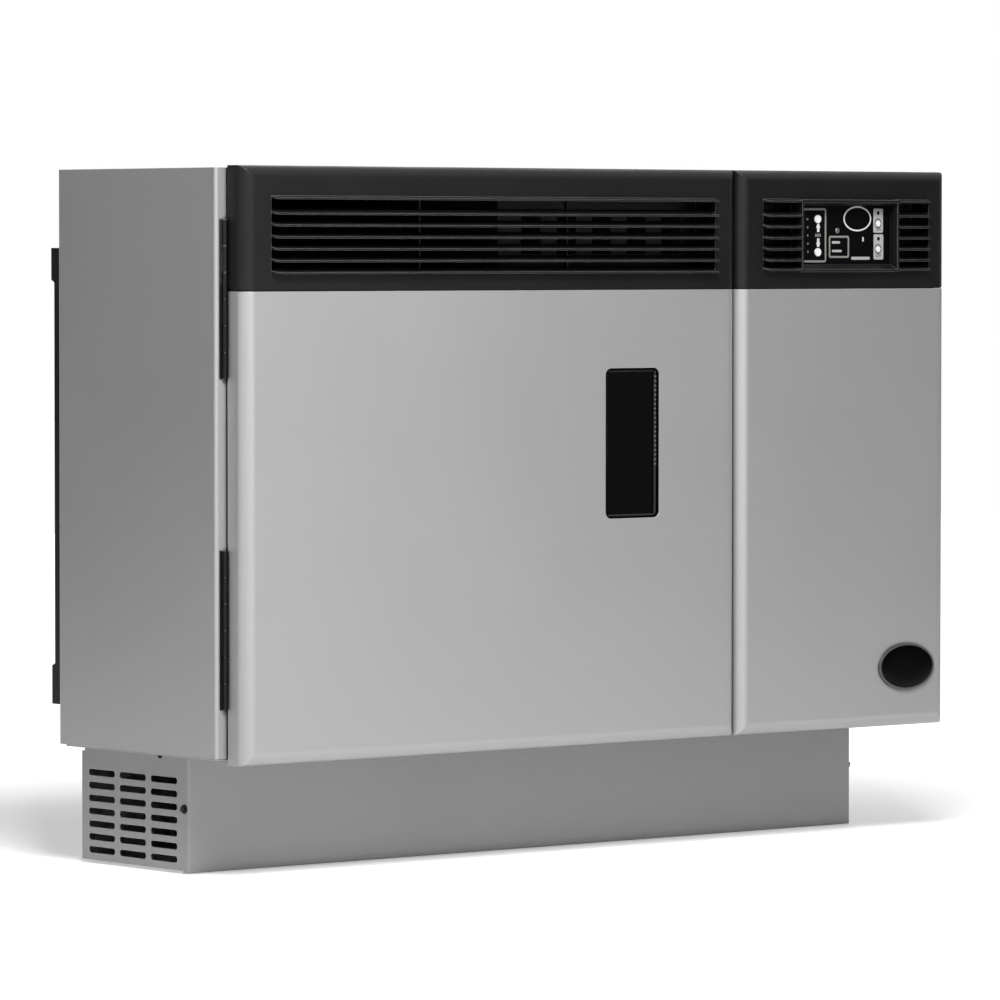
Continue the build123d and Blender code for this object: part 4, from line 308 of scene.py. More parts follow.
# Glass, seals and small plastic pieces
def tinted_heat_glass():
    """Dark rolled glass-ceramic of the door's window: near black, with clear reflections."""
    material, tree, place = new_material("tinted_heat_glass")
    film = put(tree, "ShaderNodeTexNoise", {
        "Vector": place, "Scale": 1 / (45 * MM), "Detail": 3.0})
    rough = put(tree, "ShaderNodeMapRange", {"Value": film, "To Min": 0.02, "To Max": 0.07})
    shade = put(tree, "ShaderNodeBsdfPrincipled", {
        "Base Color": to_linear("#4d4843"), "Roughness": rough,
        "IOR": 1.5, "Transmission Weight": 1.0})
    put(tree, "ShaderNodeOutputMaterial", {"Surface": shade})
    return material


def clear_heat_glass():
    """Clear glass-ceramic of the fire door, browned in patches by smoke."""
    material, tree, place = new_material("clear_heat_glass")
    smoke = put(tree, "ShaderNodeTexNoise", {
        "Vector": place, "Scale": 1 / (35 * MM), "Detail": 4.0})
    colour = put(tree, "ShaderNodeMix", {
        "Factor_Float": smoke, "A_Color": to_linear("#cfc4b2"), "B_Color": to_linear("#8d7c66")},
        data_type="RGBA")
    rough = put(tree, "ShaderNodeMapRange", {"Value": smoke, "To Min": 0.03, "To Max": 0.15})
    shade = put(tree, "ShaderNodeBsdfPrincipled", {
        "Base Color": colour, "Roughness": rough, "IOR": 1.5, "Transmission Weight": 1.0})
    put(tree, "ShaderNodeOutputMaterial", {"Surface": shade})
    return material


def braided_glass_rope(name, dark, light):
    """Knitted glass-fibre yarn, pale or smoked dark: a dry, matt surface of fine strands.

    Strands are about 0.3 mm thick and are drawn at 0.8 mm so that they show.
    """
    material, tree, place = new_material(name)
    yarn = put(tree, "ShaderNodeTexNoise", {
        "Vector": place, "Scale": 1 / (0.8 * MM), "Detail": 3.0})
    colour = put(tree, "ShaderNodeMix", {
        "Factor_Float": yarn, "A_Color": to_linear(dark), "B_Color": to_linear(light)},
        data_type="RGBA")
    bump = put(tree, "ShaderNodeBump", {"Height": yarn, "Distance": 0.25 * MM})
    shade = put(tree, "ShaderNodeBsdfPrincipled", {
        "Base Color": colour, "Roughness": 0.95, "Sheen Weight": 0.2, "Normal": bump})
    put(tree, "ShaderNodeOutputMaterial", {"Surface": shade})
    return material


def sponge_rubber():
    """Closed-cell rubber strip, cut from foam: soft matt black with open pores."""
    material, tree, place = new_material("sponge_rubber")
    pores = put(tree, "ShaderNodeTexVoronoi", {"Vector": place, "Scale": 1 / (1.2 * MM)})
    rough = put(tree, "ShaderNodeMapRange", {"Value": pores, "To Min": 0.75, "To Max": 0.95})
    bump = put(tree, "ShaderNodeBump", {"Height": pores, "Distance": 0.2 * MM})
    shade = put(tree, "ShaderNodeBsdfPrincipled", {
        "Base Color": to_linear("#1a1a1a"), "Roughness": rough, "Normal": bump})
    put(tree, "ShaderNodeOutputMaterial", {"Surface": shade})
    return material


def keypad_film():
    """Polyester film over the keypad, printed black on its back: deep satin black."""
    material, tree, place = new_material("keypad_film")
    press = put(tree, "ShaderNodeTexNoise", {
        "Vector": place, "Scale": 1 / (1.2 * MM), "Detail": 1.0})
    bump = put(tree, "ShaderNodeBump", {"Height": press, "Distance": 0.01 * MM})
    rough = put(tree, "ShaderNodeMapRange", {"Value": press, "To Min": 0.30, "To Max": 0.38})
    shade = put(tree, "ShaderNodeBsdfPrincipled", {
        "Base Color": to_linear("#060607"), "Roughness": rough, "Specular IOR Level": 0.1,
        "Normal": bump})
    put(tree, "ShaderNodeOutputMaterial", {"Surface": shade})
    return material


def screen_ink(name, dark, light):
    """Ink screen-printed on the keypad's film: flat, and uneven where the mesh lay.

    The mesh is about 0.1 mm and is drawn at 0.5 mm so that it shows.
    """
    material, tree, place = new_material(name)
    mesh = put(tree, "ShaderNodeTexNoise", {"Vector": place, "Scale": 1 / (0.5 * MM)})
    colour = put(tree, "ShaderNodeMix", {
        "Factor_Float": mesh, "A_Color": to_linear(dark), "B_Color": to_linear(light)},
        data_type="RGBA")
    shade = put(tree, "ShaderNodeBsdfPrincipled", {"Base Color": colour, "Roughness": 0.55})
    put(tree, "ShaderNodeOutputMaterial", {"Surface": shade})
    return material


def lamp_lens():
    """Smoke-grey acrylic lenses of the keypad's lamps, moulded and unlit: glossy."""
    material, tree, place = new_material("lamp_lens")
    milk = put(tree, "ShaderNodeTexNoise", {"Vector": place, "Scale": 1 / (1.5 * MM)})
    colour = put(tree, "ShaderNodeMix", {
        "Factor_Float": milk, "A_Color": to_linear("#4c4c4b"), "B_Color": to_linear("#6b6b69")},
        data_type="RGBA")
    shade = put(tree, "ShaderNodeBsdfPrincipled", {
        "Base Color": colour, "Roughness": 0.12, "Coat Weight": 0.5})
    put(tree, "ShaderNodeOutputMaterial", {"Surface": shade})
    return material


def moulded_key():
    """Moulded ABS keys: light grey, half gloss, with a spark-eroded grain.

    The grain is about 0.05 mm and is drawn at 0.4 mm so that it shows.
    """
    material, tree, place = new_material("moulded_key")
    spark = put(tree, "ShaderNodeTexNoise", {
        "Vector": place, "Scale": 1 / (0.4 * MM), "Detail": 2.0})
    colour = put(tree, "ShaderNodeMix", {
        "Factor_Float": spark, "A_Color": to_linear("#e2e2e0"), "B_Color": to_linear("#efefed")},
        data_type="RGBA")
    bump = put(tree, "ShaderNodeBump", {"Height": spark, "Distance": 0.015 * MM})
    shade = put(tree, "ShaderNodeBsdfPrincipled", {
        "Base Color": colour, "Roughness": 0.33, "Normal": bump})
    put(tree, "ShaderNodeOutputMaterial", {"Surface": shade})
    return material


def solder_mask():
    """Green solder mask, curtain-coated over woven glass-fibre board: satin, faintly mottled."""
    material, tree, place = new_material("solder_mask")
    weave = put(tree, "ShaderNodeTexNoise", {"Vector": place, "Scale": 1 / (0.7 * MM)})
    colour = put(tree, "ShaderNodeMix", {
        "Factor_Float": weave, "A_Color": to_linear("#12402a"), "B_Color": to_linear("#1b5437")},
        data_type="RGBA")
    shade = put(tree, "ShaderNodeBsdfPrincipled", {"Base Color": colour, "Roughness": 0.35})
    put(tree, "ShaderNodeOutputMaterial", {"Surface": shade})
    return material


def satin_aluminium():
    """Anodised aluminium of the badge's rim, brushed along X: a dull grey metal."""
    material, tree, place = new_material("satin_aluminium")
    drawn = put(tree, "ShaderNodeMapping", {"Vector": place, "Scale": (0.04, 1, 1)})
    brush = put(tree, "ShaderNodeTexNoise", {
        "Vector": drawn, "Scale": 1 / (0.35 * MM), "Detail": 2.0})
    rough = put(tree, "ShaderNodeMapRange", {"Value": brush, "To Min": 0.26, "To Max": 0.40})
    bump = put(tree, "ShaderNodeBump", {"Height": brush, "Distance": 0.01 * MM})
    shade = put(tree, "ShaderNodeBsdfPrincipled", {
        "Base Color": to_linear("#777776"), "Metallic": 1.0, "Roughness": rough, "Normal": bump})
    put(tree, "ShaderNodeOutputMaterial", {"Surface": shade})
    return material


def black_enamel():
    """Black enamel, poured in the badge and stoved on the window's trim: deep, little glare."""
    material, tree, place = new_material("black_enamel")
    wave = put(tree, "ShaderNodeTexNoise", {"Vector": place, "Scale": 1 / (9 * MM)})
    bump = put(tree, "ShaderNodeBump", {"Height": wave, "Distance": 0.04 * MM})
    rough = put(tree, "ShaderNodeMapRange", {"Value": wave, "To Min": 0.16, "To Max": 0.24})
    shade = put(tree, "ShaderNodeBsdfPrincipled", {
        "Base Color": to_linear("#040405"), "Roughness": rough, "Specular IOR Level": 0.08,
        "Normal": bump})
    put(tree, "ShaderNodeOutputMaterial", {"Surface": shade})
    return material


def moulded_nylon():
    """Glass-filled nylon of the power inlet, moulded: black, slightly mottled."""
    material, tree, place = new_material("moulded_nylon")
    flow = put(tree, "ShaderNodeTexNoise", {
        "Vector": place, "Scale": 1 / (3 * MM), "Detail": 3.0})
    rough = put(tree, "ShaderNodeMapRange", {"Value": flow, "To Min": 0.40, "To Max": 0.55})
    edge = put(tree, "ShaderNodeBevel", {"Radius": 0.4 * MM}, samples=4)
    shade = put(tree, "ShaderNodeBsdfPrincipled", {
        "Base Color": to_linear("#161617"), "Roughness": rough, "Normal": edge})
    put(tree, "ShaderNodeOutputMaterial", {"Surface": shade})
    return material


# Surfaces of the studio
def studio_paper():
    """Matt seamless paper under the stove: it keeps the shadow, and turns pure white far off."""
    material, tree, place = new_material("studio_paper")
    fibre = put(tree, "ShaderNodeTexNoise", {
        "Vector": place, "Scale": 1 / (300 * MM), "Detail": 2.0})
    colour = put(tree, "ShaderNodeMix", {
        "Factor_Float": fibre, "A_Color": to_linear("#f1f1f1"), "B_Color": to_linear("#f5f5f5")},
        data_type="RGBA")
    paper = put(tree, "ShaderNodeBsdfPrincipled", {
        "Base Color": colour, "Roughness": 0.9, "Specular IOR Level": 0.1})
    camera_ray = put(tree, "ShaderNodeLightPath", out="Is Camera Ray")
    path = camera_ray.node
    glossy = put(tree, "ShaderNodeMath", {
        "Value": camera_ray, "Value_001": path.outputs["Is Glossy Ray"]}, operation="MAXIMUM")
    seen = put(tree, "ShaderNodeMath", {
        "Value": glossy, "Value_001": path.outputs["Is Transmission Ray"]}, operation="MAXIMUM")
    # White from 1.5 m off the stove's middle, its own shaded colour within 0.45 m
    reach = put(tree, "ShaderNodeVectorMath", {"Vector": place}, out="Value", operation="LENGTH")
    away = put(tree, "ShaderNodeMapRange", {"Value": reach, "From Min": 0.45, "From Max": 1.5},
               interpolation_type="SMOOTHSTEP")
    lift = put(tree, "ShaderNodeMath", {"Value": away, "Value_001": seen}, operation="MULTIPLY")
    white = put(tree, "ShaderNodeEmission", {"Color": to_linear("#ffffff"), "Strength": 1.0})
    glow = put(tree, "ShaderNodeMixShader", {"Fac": lift, "Shader": paper, "Shader_001": white})
    soft = put(tree, "ShaderNodeEmission", {
        "Color": to_linear("#ffffff"), "Strength": PAPER_GLOW})
    haze = put(tree, "ShaderNodeMixShader", {"Fac": seen, "Shader_001": soft})
    shade = put(tree, "ShaderNodeAddShader", {"Shader": glow, "Shader_001": haze})
    put(tree, "ShaderNodeOutputMaterial", {"Surface": shade})
    return material


def black_velvet():
    """Dark cloth of the studio's cards: black, with the faint glow of a dim room in mirrors."""
    material, tree, place = new_material("black_velvet")
    pile = put(tree, "ShaderNodeTexNoise", {
        "Vector": place, "Scale": 1 / (900 * MM), "Detail": 1.0})
    dim = put(tree, "ShaderNodeMapRange", {"Value": pile, "To Min": 0.05, "To Max": 0.17})
    shade = put(tree, "ShaderNodeEmission", {"Color": to_linear("#ffffff"), "Strength": dim})
    put(tree, "ShaderNodeOutputMaterial", {"Surface": shade})
    return material


SILVER = silver_powder_coat("silver_powder_coat", "#a1a1a1", "#acacac", 0.36, 0.41)
# The base's coat is darker than the case's: painted shade under the case's overhang
BASE_SILVER = silver_powder_coat("base_powder_coat", "#8b8b8b", "#969696", 0.22, 0.27)
BLACK = black_powder_coat("black_powder_coat", "#0d0d0e", "#151516")
HINGE_BLACK = black_powder_coat("hinge_black_coat", "#050505", "#0a0a0a")
HEAT_BLACK = stove_paint()
WHITE_INK = screen_ink("white_ink", "#c4c4c2", "#dededc")
GREY_INK = screen_ink("grey_line_ink", "#7b7b76", "#8b8b86")
BAR_INK = screen_ink("pale_bar_ink", "#a3a3a1", "#b4b4b2")
FILM = keypad_film()
LENS = lamp_lens()
BADGE_BLACK = black_enamel()
# No face lies in front of the first depth; the second is inside the back sheet
ZINC = galvanised_sheet("galvanised_sheet", -1.0)
BACK_ZINC = galvanised_sheet("galvanised_back_sheet", -24.7 * MM)
STEEL = turned_steel()
ROPE = braided_glass_rope("braided_glass_rope", "#77736c", "#a9a49c")
CORD = braided_glass_rope("window_seal_cord", "#0b0b0a", "#171615")
YARN = braided_glass_rope("pale_sewing_yarn", "#4e4c48", "#908c85")
FINISH_OF_SLOT = {
    "grey_shell": SILVER,
    "black_cover": BLACK,
    "heat_black": HEAT_BLACK,
    "zinc_sheet": ZINC,
    "cast_pot": sooted_cast_iron(),
    "bright_steel": STEEL,
    "motor_steel": motor_enamel(),
    "window_glass": tinted_heat_glass(),
    "inner_glass": clear_heat_glass(),
    "rope_seal": ROPE,
    "sponge_seal": sponge_rubber(),
    "panel_black": FILM,
    "button_grey": moulded_key(),
    "board_green": solder_mask(),
    "badge_metal": satin_aluminium(),
    "inlet_plastic": moulded_nylon(),
}
# Nodes whose finish differs from that of their slot
OWN_FINISH = {
    "base_shroud": BASE_SILVER,
    # The ducts' black paint is painted shade for the case's inside, seen through the louvres
    "heat_ducts": HEAT_BLACK,
    "back_panel": BACK_ZINC,
    "window_trim": BADGE_BLACK,
}


def dress_frame():
    """Gives every carried-over node its finish and smooth bends between flat faces."""
    slot_of = {part["node"]: part["material_slot"] for part in frame["record"]["subparts"]}
    for name, node in frame["nodes"].items():
        node.data.materials.clear()
        node.data.materials.append(OWN_FINISH.get(name, FINISH_OF_SLOT[slot_of[name]]))
        for polygon in node.data.polygons:
            polygon.material_index = 0
            polygon.use_smooth = True
        node.data.set_sharp_from_angle(angle=math.radians(SHEET_FOLD))
        node.modifiers.new("flat faces stay flat", "WEIGHTED_NORMAL").keep_sharp = True


# Mesh building, in millimetres. A shape is a pair: its points and its faces.
def mounted(name, mesh, finish, body):
    """Puts a mesh in the scene as a named piece that rides on a body."""
    mesh.materials.clear()
    mesh.materials.append(finish)
    piece = bpy.data.objects.new(name, mesh)
    bpy.context.scene.collection.objects.link(piece)
    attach(piece, body)
    return piece


def add_piece(name, shape, finish, body):
    """A new closed mesh piece from a shape."""
    points, faces = shape
    mesh = bpy.data.meshes.new(name)
    mesh.from_pydata([Vector(point) * MM for point in points], [], faces)
    outward = bmesh.new()
    outward.from_mesh(mesh)
    bmesh.ops.recalc_face_normals(outward, faces=outward.faces)
    outward.to_mesh(mesh)
    outward.free()
    mesh.shade_smooth()
    mesh.set_sharp_from_angle(angle=math.radians(PIECE_FOLD))
    return mounted(name, mesh, finish, body)


def joined(shapes):
    """Several shapes as one."""
    points, faces = [], []
    for more_points, more_faces in shapes:
        faces += [[index + len(points) for index in face] for face in more_faces]
        points += more_points
    return points, faces


def skinned(loops, closed=False):
    """Skins loops of points one after another; the last joins the first, or both are shut."""
    around, count = len(loops[0]), len(loops)
    points = [point for loop in loops for point in loop]
    faces = []
    for step in range(count if closed else count - 1):
        here, there = step * around, (step + 1) % count * around
        for index in range(around):
            after = (index + 1) % around
            faces.append([here + index, here + after, there + after, there + index])
    if not closed:
        faces.append(list(range(around)))
        faces.append([len(points) - around + index for index in range(around)])
    return points, faces


def printed(outline, front):
    """A flat shape of ink that lies on a plane facing the room; outline is a list of (x, z)."""
    return skinned([[(x, y, z) for x, z in outline] for y in (front, front - INK_THICK)])


def printed_line(outer, inner, front):
    """A closed line of ink between two outlines with equal numbers of points."""
    return skinned([[(x, y, z) for x, z in outline] for outline, y in (
        (outer, front), (outer, front - INK_THICK), (inner, front - INK_THICK), (inner, front))],
        closed=True)


def rounded(left, right, low, high, radius, steps=6):
    """The outline of a rectangle with round corners."""
    outline = []
    for corner in range(4):
        x = right - radius if corner in (0, 3) else left + radius
        z = high - radius if corner in (0, 1) else low + radius
        for step in range(steps + 1):
            angle = math.pi / 2 * (corner + step / steps)
            outline.append((x + radius * math.cos(angle), z + radius * math.sin(angle)))
    return outline


def oval(x, z, half_width, half_height, steps=48):
    """The outline of an oval."""
    angles = [2 * math.pi * step / steps for step in range(steps)]
    return [(x + half_width * math.cos(angle), z + half_height * math.sin(angle))
            for angle in angles]


def block(x_span, y_span, z_span):
    """A plain bar between limits, part of a larger piece."""
    corners = [(x_span[0], y_span[0]), (x_span[1], y_span[0]),
               (x_span[1], y_span[1]), (x_span[0], y_span[1])]
    return skinned([[(x, y, z) for x, y in corners] for z in z_span])


def rod(path, radius_at, sides, closed, up):
    """A round rod along a path; radius_at(step, turn) is its radius, and up is never along it."""
    loops = []
    count = len(path)
    for step, point in enumerate(path):
        ahead = path[(step + 1) % count] if closed or step < count - 1 else point
        behind = path[step - 1] if closed or step else point
        along = (Vector(ahead) - Vector(behind)).normalized()
        side = along.cross(Vector(up)).normalized()
        lift = side.cross(along)
        loop = []
        for turn in range(sides):
            angle = 2 * math.pi * turn / sides
            offset = math.cos(angle) * side + math.sin(angle) * lift
            loop.append(tuple(Vector(point) + radius_at(step, turn) * offset))
        loops.append(loop)
    return skinned(loops, closed)


def evenly(outline, spacing):
    """Points at an even spacing along a closed outline."""
    points = [Vector(point) for point in outline]
    points.append(points[0])
    lengths = [(after - before).length for before, after in zip(points, points[1:])]
    count = round(sum(lengths) / spacing)
    step = sum(lengths) / count
    found, walked, index = [], 0.0, 0
    for number in range(count):
        while walked + lengths[index] < number * step:
            walked += lengths[index]
            index += 1
        share = (number * step - walked) / lengths[index]
        found.append(tuple(points[index].lerp(points[index + 1], share)))
    return found


def millimetres(node):
    """A node's box at rest in millimetres."""
    low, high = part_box(node)
    return Vector(low) / MM, Vector(high) / MM


# The stove's small pieces
def make_keypad_print():
    """Marks on the keypad, in the places the photograph shows: frames, bars, arrows, a ring."""
    white, grey, bars, dark = [], [], [], []
    # Pale plates behind the two switch keys, each with a dark tab and a ring round its key
    for left, right, bottom, top in ((359.4, 372.9, 239.4, 264.2), (359.8, 373.4, 211.8, 237.8)):
        bars.append(printed(rounded(left, right, bottom, top, 1.6), FILM_FRONT))
        middle = (left + right) / 2
        tab = rounded(middle - 1.7, middle + 1.7, top - 6.4, top - 2.8, 0.5)
        dark.append(printed(tab, FILM_FRONT - INK_THICK))
    for x, z in ((365.9, 249.0), (366.0, 222.6)):
        dark.append(printed_line(
            oval(x, z, 4.6, 5.0), oval(x, z, 3.7, 4.1), FILM_FRONT - INK_THICK))
    # Frames round the heat keys and round two short bars
    grey.append(printed_line(rounded(254.0, 293.9, 208.9, 264.3, 2.8),
                             rounded(255.4, 291.8, 211.0, 262.2, 1.2), FILM_FRONT))
    grey.append(printed_line(rounded(297.5, 325.6, 213.5, 236.2, 2.4),
                             rounded(299.5, 323.6, 215.5, 234.2, 1.0), FILM_FRONT))
    for z, width in ((229.4, 11.4), (220.6, 13.6)):
        bars.append(printed(rounded(301.6, 301.6 + width, z - 1.2, z + 1.2, 1.1), FILM_FRONT))
    # The ring, a tick below it and a bar at the foot
    white.append(printed_line(
        oval(337.0, 253.7, 19.4, 12.9), oval(337.0, 253.7, 17.7, 11.3), FILM_FRONT))
    white.append(printed(rounded(343.9, 345.9, 230.2, 235.0, 0.8), FILM_FRONT))
    bars.append(printed(rounded(328.6, 354.4, 211.6, 214.7, 1.0), FILM_FRONT))
    # Arrows up and down between the heat keys, and three short bars between the arrows
    for tip, foot in ((248.8, 240.0), (224.6, 233.4)):
        head = tip + (4.6 if foot > tip else -4.6)
        white.append(printed([(281.2, foot), (284.4, foot), (284.4, head), (285.6, head),
                              (283.9, tip), (281.7, tip), (280.0, head), (281.2, head)],
                             FILM_FRONT))
    for x in (279.6, 282.4, 285.2):
        grey.append(printed(rounded(x - 0.9, x + 0.9, 235.1, 238.2, 0.4), FILM_FRONT))
    for name, marks, ink in (("keypad_white_marks", white, WHITE_INK),
                             ("keypad_grey_marks", grey, GREY_INK),
                             ("keypad_bars", bars, BAR_INK),
                             ("keypad_dark_marks", dark, FILM)):
        add_piece(name, joined(marks), ink, "stove")


def make_keypad_lamps():
    """Domed lenses on the keypad: five small ones in a row, and a large one."""
    small = [(268.0 + 0.6 * number / 4, 253.1 - 33.4 * (number / 4), 1.3) for number in range(5)]
    # Each loop: how far it stands off the film and its radius, as shares of the size
    rings = ((0.0, 1.0), (0.16, 0.94), (0.28, 0.74), (0.34, 0.42), (0.36, 0.1))
    domes = []
    for x, z, size in small + [(309.2, 241.5, 3.0)]:
        domes.append(skinned([
            [(px, FILM_FRONT - rise * size, pz)
             for px, pz in oval(x, z, size * width, size * width, 16)]
            for rise, width in rings]))
    add_piece("keypad_lamps", joined(domes), LENS, "stove")


def make_key_words():
    """ON and OFF under the two switch keys: thin letters, half sunk in the plates' ink."""
    middle, letter_height, half_thick = 366.4, 4.2, 0.03
    front = FILM_FRONT - INK_THICK - 0.02
    for word, foot in (("ON", 241.4), ("OFF", 214.4)):
        curve = bpy.data.curves.new(f"word_{word}", "FONT")
        curve.body = word
        curve.size = letter_height * MM
        curve.align_x = "CENTER"
        curve.extrude = half_thick * MM
        curve.resolution_u = 3
        holder = bpy.data.objects.new(f"word_source_{word}", curve)
        bpy.context.scene.collection.objects.link(holder)
        bpy.context.view_layer.update()
        flat = holder.evaluated_get(bpy.context.evaluated_depsgraph_get())
        mesh = bpy.data.meshes.new_from_object(flat)
        bpy.data.objects.remove(holder)
        on_film = Matrix.Translation(Vector((middle, front, foot)) * MM)
        mesh.transform(on_film @ Matrix.Rotation(math.pi / 2, 4, "X"))
        mounted(f"keypad_word_{word.lower()}", mesh, FILM, "stove")


def make_badge_enamel():
    """A plain domed oval of black enamel, poured into the badge's recess."""
    low, high = millimetres("badge_plate")
    x, z = (low.x + high.x) / 2, (low.z + high.z) / 2
    rim, recess = 2.25, 0.6
    half_width, half_height = (high.x - low.x) / 2 - rim, (high.z - low.z) / 2 - rim
    floor = low.y + recess
    # Each loop: how far it stands off the recess's floor, and how far inside its wall
    rings = ((0.0, 0.0), (0.35, 0.0), (0.6, 0.5), (0.8, 2.0), (1.0, 6.0), (1.1, 12.0), (1.13, 17.0))
    loops = [[(px, floor - rise, pz)
              for px, pz in oval(x, z, half_width - inset, half_height - inset, 72)]
             for rise, inset in rings]
    add_piece("badge_enamel", skinned(loops), BADGE_BLACK, "stove")


def make_window_cord():
    """The window's seal: a dark cord inside the trim, stitched where its long sides show."""
    low, high = millimetres("window_trim")
    glass_low, _ = millimetres("window_glass")
    flange, lip, radius, clear_of_glass = 5.0, 2.0, 0.85, 0.02
    edge = flange + lip + radius
    y = glass_low.y - radius - clear_of_glass
    outline = [(x, y, z) for x, z in rounded(
        low.x + edge, high.x - edge, low.z + edge, high.z - edge, 1.2, 3)]
    cord = rod(evenly(outline, 2.4), lambda step, turn: radius, 8, True, (0, 1, 0))
    add_piece("window_cord", cord, CORD, "front_door")
    middle, half_width = (low.x + high.x) / 2, (high.x - low.x) / 2
    lowest = low.z + (high.z - low.z) * 0.36
    pitch, half_long, half_wide, corner = 4.6, 1.05, 0.8, 0.8
    # Each loop: how far it stands off the cord's axis, and its share of the full size
    rings = ((0.3, 0.8), (0.9, 0.95), (1.5, 0.7), (1.7, 0.25))
    stitches = []
    for x, _, z in evenly(outline, pitch):
        on_a_side = abs(x - middle) > half_width - edge - corner
        if on_a_side and z >= lowest:
            stitches.append(skinned([
                [(px, y - rise, pz)
                 for px, pz in oval(x, z, half_long * spread, half_wide * spread, 8)]
                for rise, spread in rings]))
    add_piece("window_stitches", joined(stitches), YARN, "front_door")


def hex_screw(place, outward, washer, across):
    """A flanged hexagon screw head on a sheet: its washer's radius and its width across flats."""
    outward = Vector(outward)
    side = outward.cross(Vector((0, 0, 1))).normalized()
    lift = side.cross(outward)

    def circle(radius, rise, sides=24, turn=0.0):
        angles = [turn + 2 * math.pi * step / sides for step in range(sides)]
        return [tuple(Vector(place) + outward * rise
                      + radius * (math.cos(angle) * side + math.sin(angle) * lift))
                for angle in angles]

    washer_top, head_edge, head_top, twist = 0.9, 2.5, 3.0, 0.26
    flange = skinned([circle(washer, 0.0), circle(washer, 0.35),
                      circle(washer * 0.9, 0.75), circle(washer * 0.7, washer_top)])
    corner = across / math.sqrt(3)
    head = skinned([circle(corner, washer_top, 6, twist), circle(corner, head_edge, 6, twist),
                    circle(corner * 0.84, head_top, 6, twist)])
    return joined([flange, head])


def make_screws():
    """Flanged screws of the base's sides, and those that hold the back sheet."""
    low, high = millimetres("base_shroud")
    from_front, from_foot = 6.2, 62.1
    sides = [hex_screw((x, low.y + from_front, low.z + from_foot), (way, 0, 0), 4.6, 6.6)
             for x, way in ((low.x, -1), (high.x, 1))]
    add_piece("base_screws", joined(sides), HINGE_BLACK, "stove")
    low, high = millimetres("back_panel")
    width, from_side, from_end = high.x - low.x, 14, 9
    columns = (low.x + from_side, low.x + width * 0.34, low.x + width * 0.66, high.x - from_side)
    rows = (low.z + from_end, high.z - from_end)
    heads = [hex_screw((x, high.y, z), (0, 1, 0), 4.2, 6.0) for x in columns for z in rows]
    add_piece("back_screws", joined(heads), STEEL, "stove")


def make_hinges():
    """Piano hinges: folded leaves with round knuckles that take turns along the pin."""
    axis_x, axis_y = HINGE_AXIS
    radius, chamfer = 2.4, 0.4
    length = HINGE_PITCH - 2 * KNUCKLE_PLAY
    # From the pin's axis: where a knuckle's foot starts and ends, and where its leaf starts
    foot_from, foot_to, leaf_from = 1.6, 2.9, 2.8
    for node, body, first, far_x in (("hinge_case_leaves", "stove", 0, -465.4),
                                     ("hinge_door_leaves", "front_door", 1, -440.8)):
        back = millimetres(node)[1].y if body == "stove" else DOOR_LEAF_BACK
        leaf = (back - LEAF_GAUGE, back)
        toward = 1 if far_x > axis_x else -1
        shapes = []
        for foot in HINGE_LOWS:
            shapes.append(block(sorted((axis_x + toward * leaf_from, far_x)), leaf,
                                (foot, foot + KNUCKLES * HINGE_PITCH)))
            for step in range(first, KNUCKLES, 2):
                start = foot + KNUCKLE_PLAY + HINGE_PITCH * step
                ends = ((radius - chamfer, start), (radius, start + chamfer),
                        (radius, start + length - chamfer), (radius - chamfer, start + length))
                shapes.append(skinned([
                    [(x, y, z) for x, y in oval(axis_x, axis_y, reach, reach, 20)]
                    for reach, z in ends]))
                feet = sorted((axis_x + toward * foot_from, axis_x + toward * foot_to))
                shapes.append(block(feet, leaf, (start, start + length)))
        piece = add_piece(f"round_{node}", joined(shapes), HINGE_BLACK, body)
        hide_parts(node)


def make_door_rope():
    """The fire door's rope: braided glass fibre, squeezed into its channel."""
    low, high = millimetres("firebox_seal")
    full_radius, corner, spacing = 4.7, 6.0, 1.5
    radius = min(full_radius, (high.y - low.y) / 2)
    y = (low.y + high.y) / 2
    outline = [(x, y, z) for x, z in rounded(
        low.x + radius, high.x - radius, low.z + radius, high.z - radius, corner, 5)]
    path = evenly(outline, spacing)
    # A strand goes round once in about five points of the path
    sides, plaits, strands = 14, 3, round(len(path) / 5)

    def braid(step, turn):
        """Two sets of strands that wind opposite ways, 7% of the radius deep."""
        swing = 2 * math.pi * step * strands / len(path)
        around = 2 * math.pi * turn * plaits / sides
        return radius * (0.93 + 0.07 * math.cos(around + swing) * math.cos(around - swing))

    rope = rod(path, braid, sides, True, (0, 1, 0))
    piece = add_piece("fire_door_rope", rope, ROPE, "firebox_door")
    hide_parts("firebox_seal")


def make_latch_coil():
    """A coil of steel wire round the latch's bar, which stays cool enough to hold."""
    left, right, centre_y, centre_z = GRIP
    wire, coil, turns, points_a_turn = 1.1, 7.6, 11, 18
    steps = turns * points_a_turn
    path = []
    for step in range(steps + 1):
        angle = 2 * math.pi * turns * step / steps
        path.append((left + wire + (right - left - 2 * wire) * step / steps,
                     centre_y + coil * math.cos(angle), centre_z + coil * math.sin(angle)))
    wound = rod(path, lambda step, turn: wire, 8, False, (1, 0, 0))
    add_piece("latch_coil", wound, STEEL, "firebox_latch")


# The studio, in metres
def make_camera():
    """The photograph's view: from the front left, a little above the middle, with a long lens."""
    azimuth, elevation, roll = math.radians(-39.49), math.radians(2.22), math.radians(0.02)
    place = (-4.1959, -5.2273, 0.2233)
    camera_data = bpy.data.cameras.new("photo_camera")
    camera_data.lens = 233.8
    camera_data.sensor_width = 36.0
    camera_data.clip_end = 50
    camera = bpy.data.objects.new("photo_camera", camera_data)
    turn = Matrix.Rotation(azimuth, 4, "Z") @ Matrix.Rotation(math.pi / 2 - elevation, 4, "X")
    camera.matrix_world = Matrix.Translation(place) @ turn @ Matrix.Rotation(roll, 4, "Z")
    bpy.context.scene.collection.objects.link(camera)
    bpy.context.scene.camera = camera


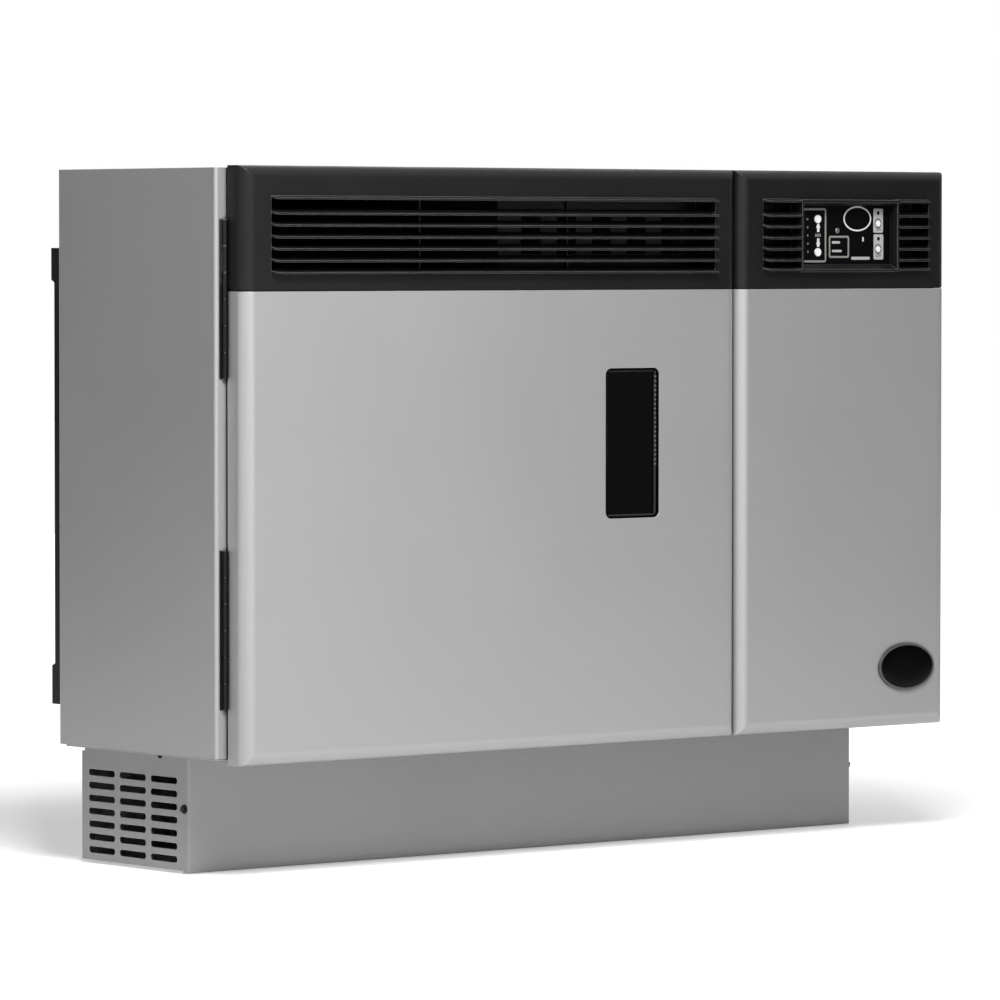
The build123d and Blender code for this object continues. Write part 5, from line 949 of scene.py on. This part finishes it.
def make_world():
    """White behind the object and in mirrors and glass, and a dim grey light from all around."""
    world = bpy.data.worlds.new("studio")
    world.use_nodes = True
    tree = world.node_tree
    tree.nodes.clear()
    camera_ray = put(tree, "ShaderNodeLightPath", out="Is Camera Ray")
    path = camera_ray.node
    glossy = put(tree, "ShaderNodeMath", {
        "Value": camera_ray, "Value_001": path.outputs["Is Glossy Ray"]}, operation="MAXIMUM")
    seen = put(tree, "ShaderNodeMath", {
        "Value": glossy, "Value_001": path.outputs["Is Transmission Ray"]}, operation="MAXIMUM")
    around = put(tree, "ShaderNodeBackground", {"Color": to_linear("#ffffff"), "Strength": 0.06})
    white = put(tree, "ShaderNodeBackground", {"Color": to_linear("#ffffff"), "Strength": 1.0})
    light = put(tree, "ShaderNodeMixShader", {"Fac": seen, "Shader": around, "Shader_001": white})
    put(tree, "ShaderNodeOutputWorld", {"Surface": light})
    bpy.context.scene.world = world


def place_facing(holder, place, target):
    """Sets an object of the studio at a place, turned to a target."""
    holder.location = place
    aim = Vector(target) - Vector(place)
    holder.rotation_euler = aim.to_track_quat("-Z", "Y").to_euler()


def studio_sheet(name, half_width, half_height, level, finish):
    """A flat rectangle that isn't part of the object."""
    mesh = bpy.data.meshes.new(name)
    corners = [(-half_width, -half_height, level), (half_width, -half_height, level),
               (half_width, half_height, level), (-half_width, half_height, level)]
    mesh.from_pydata(corners, [], [(0, 1, 2, 3)])
    mesh.materials.append(finish)
    sheet = bpy.data.objects.new(name, mesh)
    bpy.context.scene.collection.objects.link(sheet)
    return sheet


def make_floor():
    """A pale sheet of paper, 1 mm under the base."""
    reach, gap = 6.0, 1 * MM
    studio_sheet("floor", reach, reach, cad_low.z - gap, studio_paper())


def make_softboxes():
    """Three rectangular lamps: place, target, width, height and watts."""
    for name, place, target, width, height, power in (
            ("high_key", (-1.0, -1.6, 1.7), (-0.2, -0.3, 0.0), 0.9, 0.7, 80),
            ("front", (-0.3, -3.0, 0.3), (0.1, -0.3, 0.0), 2.0, 1.4, 6),
            ("back_fill", (2.2, 1.8, 1.4), (0.2, 0.0, 0.0), 1.6, 1.6, 22)):
        lamp = bpy.data.lights.new(name, "AREA")
        lamp.shape = "RECTANGLE"
        lamp.size, lamp.size_y = width, height
        lamp.energy = power
        holder = bpy.data.objects.new(name, lamp)
        place_facing(holder, place, target)
        bpy.context.scene.collection.objects.link(holder)


def make_black_cards():
    """Dark cards that show only in reflections: place, target, width and height."""
    velvet = black_velvet()
    for name, place, target, width, height in (
            ("front_right_card", (1.6, -1.5, 0.0), (0.2, -0.3, 0.0), 1.8, 2.6),
            ("back_left_card", (-1.6, 1.3, 0.0), (-0.47, -0.1, 0.0), 1.8, 2.6),
            ("back_right_card", (1.7, 0.5, 0.0), (0.47, -0.2, 0.0), 2.0, 2.6)):
        card = studio_sheet(name, width / 2, height / 2, 0.0, velvet)
        place_facing(card, place, target)
        card.visible_camera = False
        card.visible_diffuse = False
        card.visible_shadow = False


dress_frame()
make_keypad_print()
make_keypad_lamps()
make_key_words()
make_badge_enamel()
make_window_cord()
make_screws()
make_hinges()
make_door_rope()
make_latch_coil()
make_camera()
make_world()
make_floor()
make_softboxes()
make_black_cards()
bpy.context.scene.view_settings.view_transform = "Standard"
